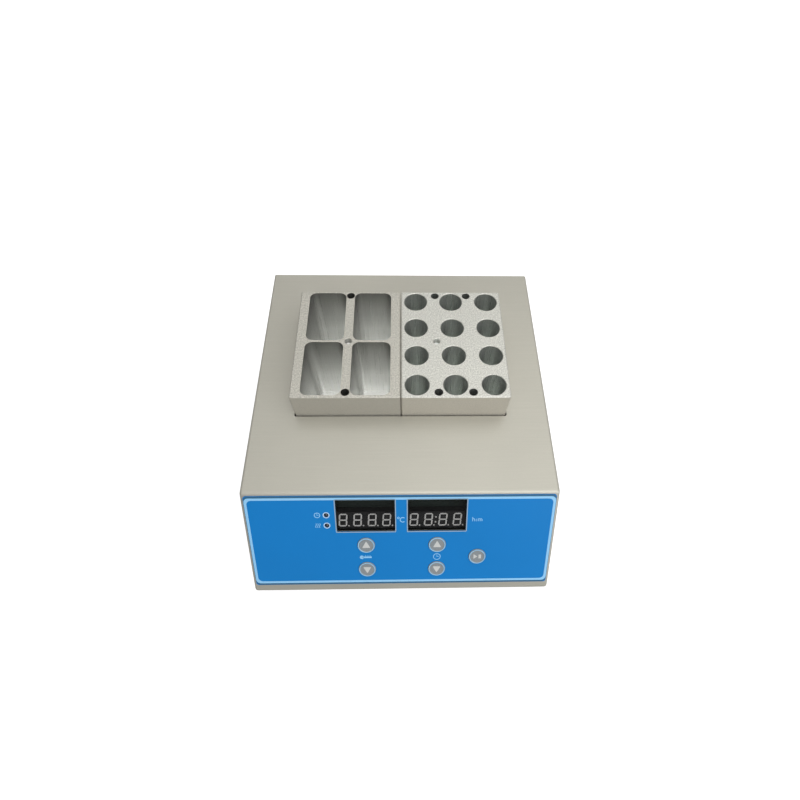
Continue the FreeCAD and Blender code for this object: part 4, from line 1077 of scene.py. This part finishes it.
@dataclass
class Studio:
    """Floor, soft light and the camera at the photograph's angle."""

    top_depth: float = 202.0 * MM
    camera_place: Triple = (3.73 * MM, -118.95 * MM, 287.24 * MM)
    pitch_yaw_roll: Triple = (64.139, 3.682, 2.972)
    lens: float = 20.79
    sensor: float = 36.0
    shift: Flat = (-0.0244, 0.0819)
    clip: Flat = (0.01, 20.0)
    floor_size: float = 6.0
    floor_glow: float = 0.8
    surround: Flat = (0.3, 0.55)
    surround_rise: Flat = (0.0, 0.9)
    surround_colour: Colour = (1.0, 0.995, 0.985)
    backdrop: float = 1.02
    aim: Triple = (0.0, 0.0, 0.06)
    lights: tuple[SoftLight, ...] = (
        SoftLight("key_light", (0.34, 0.12, 1.25), 1.75, 10.8, (1.0, 0.99, 0.97)),
        SoftLight("right_light", (0.75, -0.75, 0.6), 0.7, 4.8),
        SoftLight("front_light", (0.1, -0.8, 1.0), 0.8, 4.0),
        SoftLight("back_light", (-0.3, 1.2, 0.2), 0.36, 3.2, (1.0, 0.99, 0.98)),
    )

    def build(self) -> None:
        """Builds the studio."""
        self.build_floor()
        self.build_surround()
        for light in self.lights:
            light.hang(Vector(self.aim))
        self.build_camera()

    def build_floor(self) -> None:
        """Adds a plain pale floor."""
        half = self.floor_size / 2
        corners = [(-half, -half, 0), (half, -half, 0), (half, half, 0), (-half, half, 0)]
        data = bpy.data.meshes.new("studio_floor")
        data.from_pydata(corners, [], [(0, 1, 2, 3)])
        material = FLOOR.material()
        graph = Graph(material.node_tree)
        surface = material.node_tree.nodes["Principled BSDF"].inputs
        surface["Emission Color"].default_value = (1.0, 1.0, 1.0, 1.0)
        seen = graph.node("LightPath").outputs["Is Camera Ray"]
        graph.link(graph.math("MULTIPLY", seen, self.floor_glow), surface["Emission Strength"])
        data.materials.append(material)
        floor = add_object("studio_floor", data)

    def build_surround(self) -> None:
        """Adds an even surround, brighter overhead, in front of a white backdrop."""
        world = bpy.data.worlds.new("studio_surround")
        world.use_nodes = True
        graph = Graph(world.node_tree)
        shade = world.node_tree.nodes["Background"].inputs
        shade["Color"].default_value = (*self.surround_colour, 1.0)
        way = graph.node("TexCoord").outputs["Generated"]
        height = graph.node("SeparateXYZ", {0: way}).outputs["Z"]
        lit = graph.band(height, *self.surround_rise, *self.surround)
        seen = graph.node("LightPath").outputs["Is Camera Ray"]
        graph.link(graph.blended(seen, lit, self.backdrop), shade["Strength"])
        bpy.context.scene.world = world

    def build_camera(self) -> None:
        """Adds the camera from the fitted view."""
        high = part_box("top_cover")[1]
        brow = Vector((0.0, high[1] - self.top_depth, high[2]))
        pitch, yaw, roll = map(math.radians, self.pitch_yaw_roll)
        level = math.cos(pitch)
        ahead = Vector((math.sin(yaw) * level, math.cos(yaw) * level, -math.sin(pitch)))
        flat = Vector((math.cos(yaw), -math.sin(yaw), 0.0))
        steep = flat.cross(ahead)
        right = math.cos(roll) * flat + math.sin(roll) * steep
        up = math.cos(roll) * steep - math.sin(roll) * flat
        data = bpy.data.cameras.new("photo_camera")
        data.sensor_width, data.lens = self.sensor, self.lens
        data.shift_x, data.shift_y = self.shift
        data.clip_start, data.clip_end = self.clip
        camera = add_object("photo_camera", data)
        turn = Matrix((right, up, -ahead)).transposed().to_4x4()
        camera.matrix_world = Matrix.Translation(brow + Vector(self.camera_place)) @ turn
        bpy.context.scene.camera = camera


def main() -> None:
    """Builds the studio, dresses the CAD nodes and adds every piece in order."""
    logging.basicConfig(level=logging.INFO, format="%(name)s: %(message)s")
    bpy.context.scene.view_settings.view_transform = "Standard"
    Effects.build()
    for assembly in (Studio, Casework, ControlPanel, Fasteners, PowerEntry, LiftingThreads):
        assembly().build()


if __name__ == "__main__":
    main()
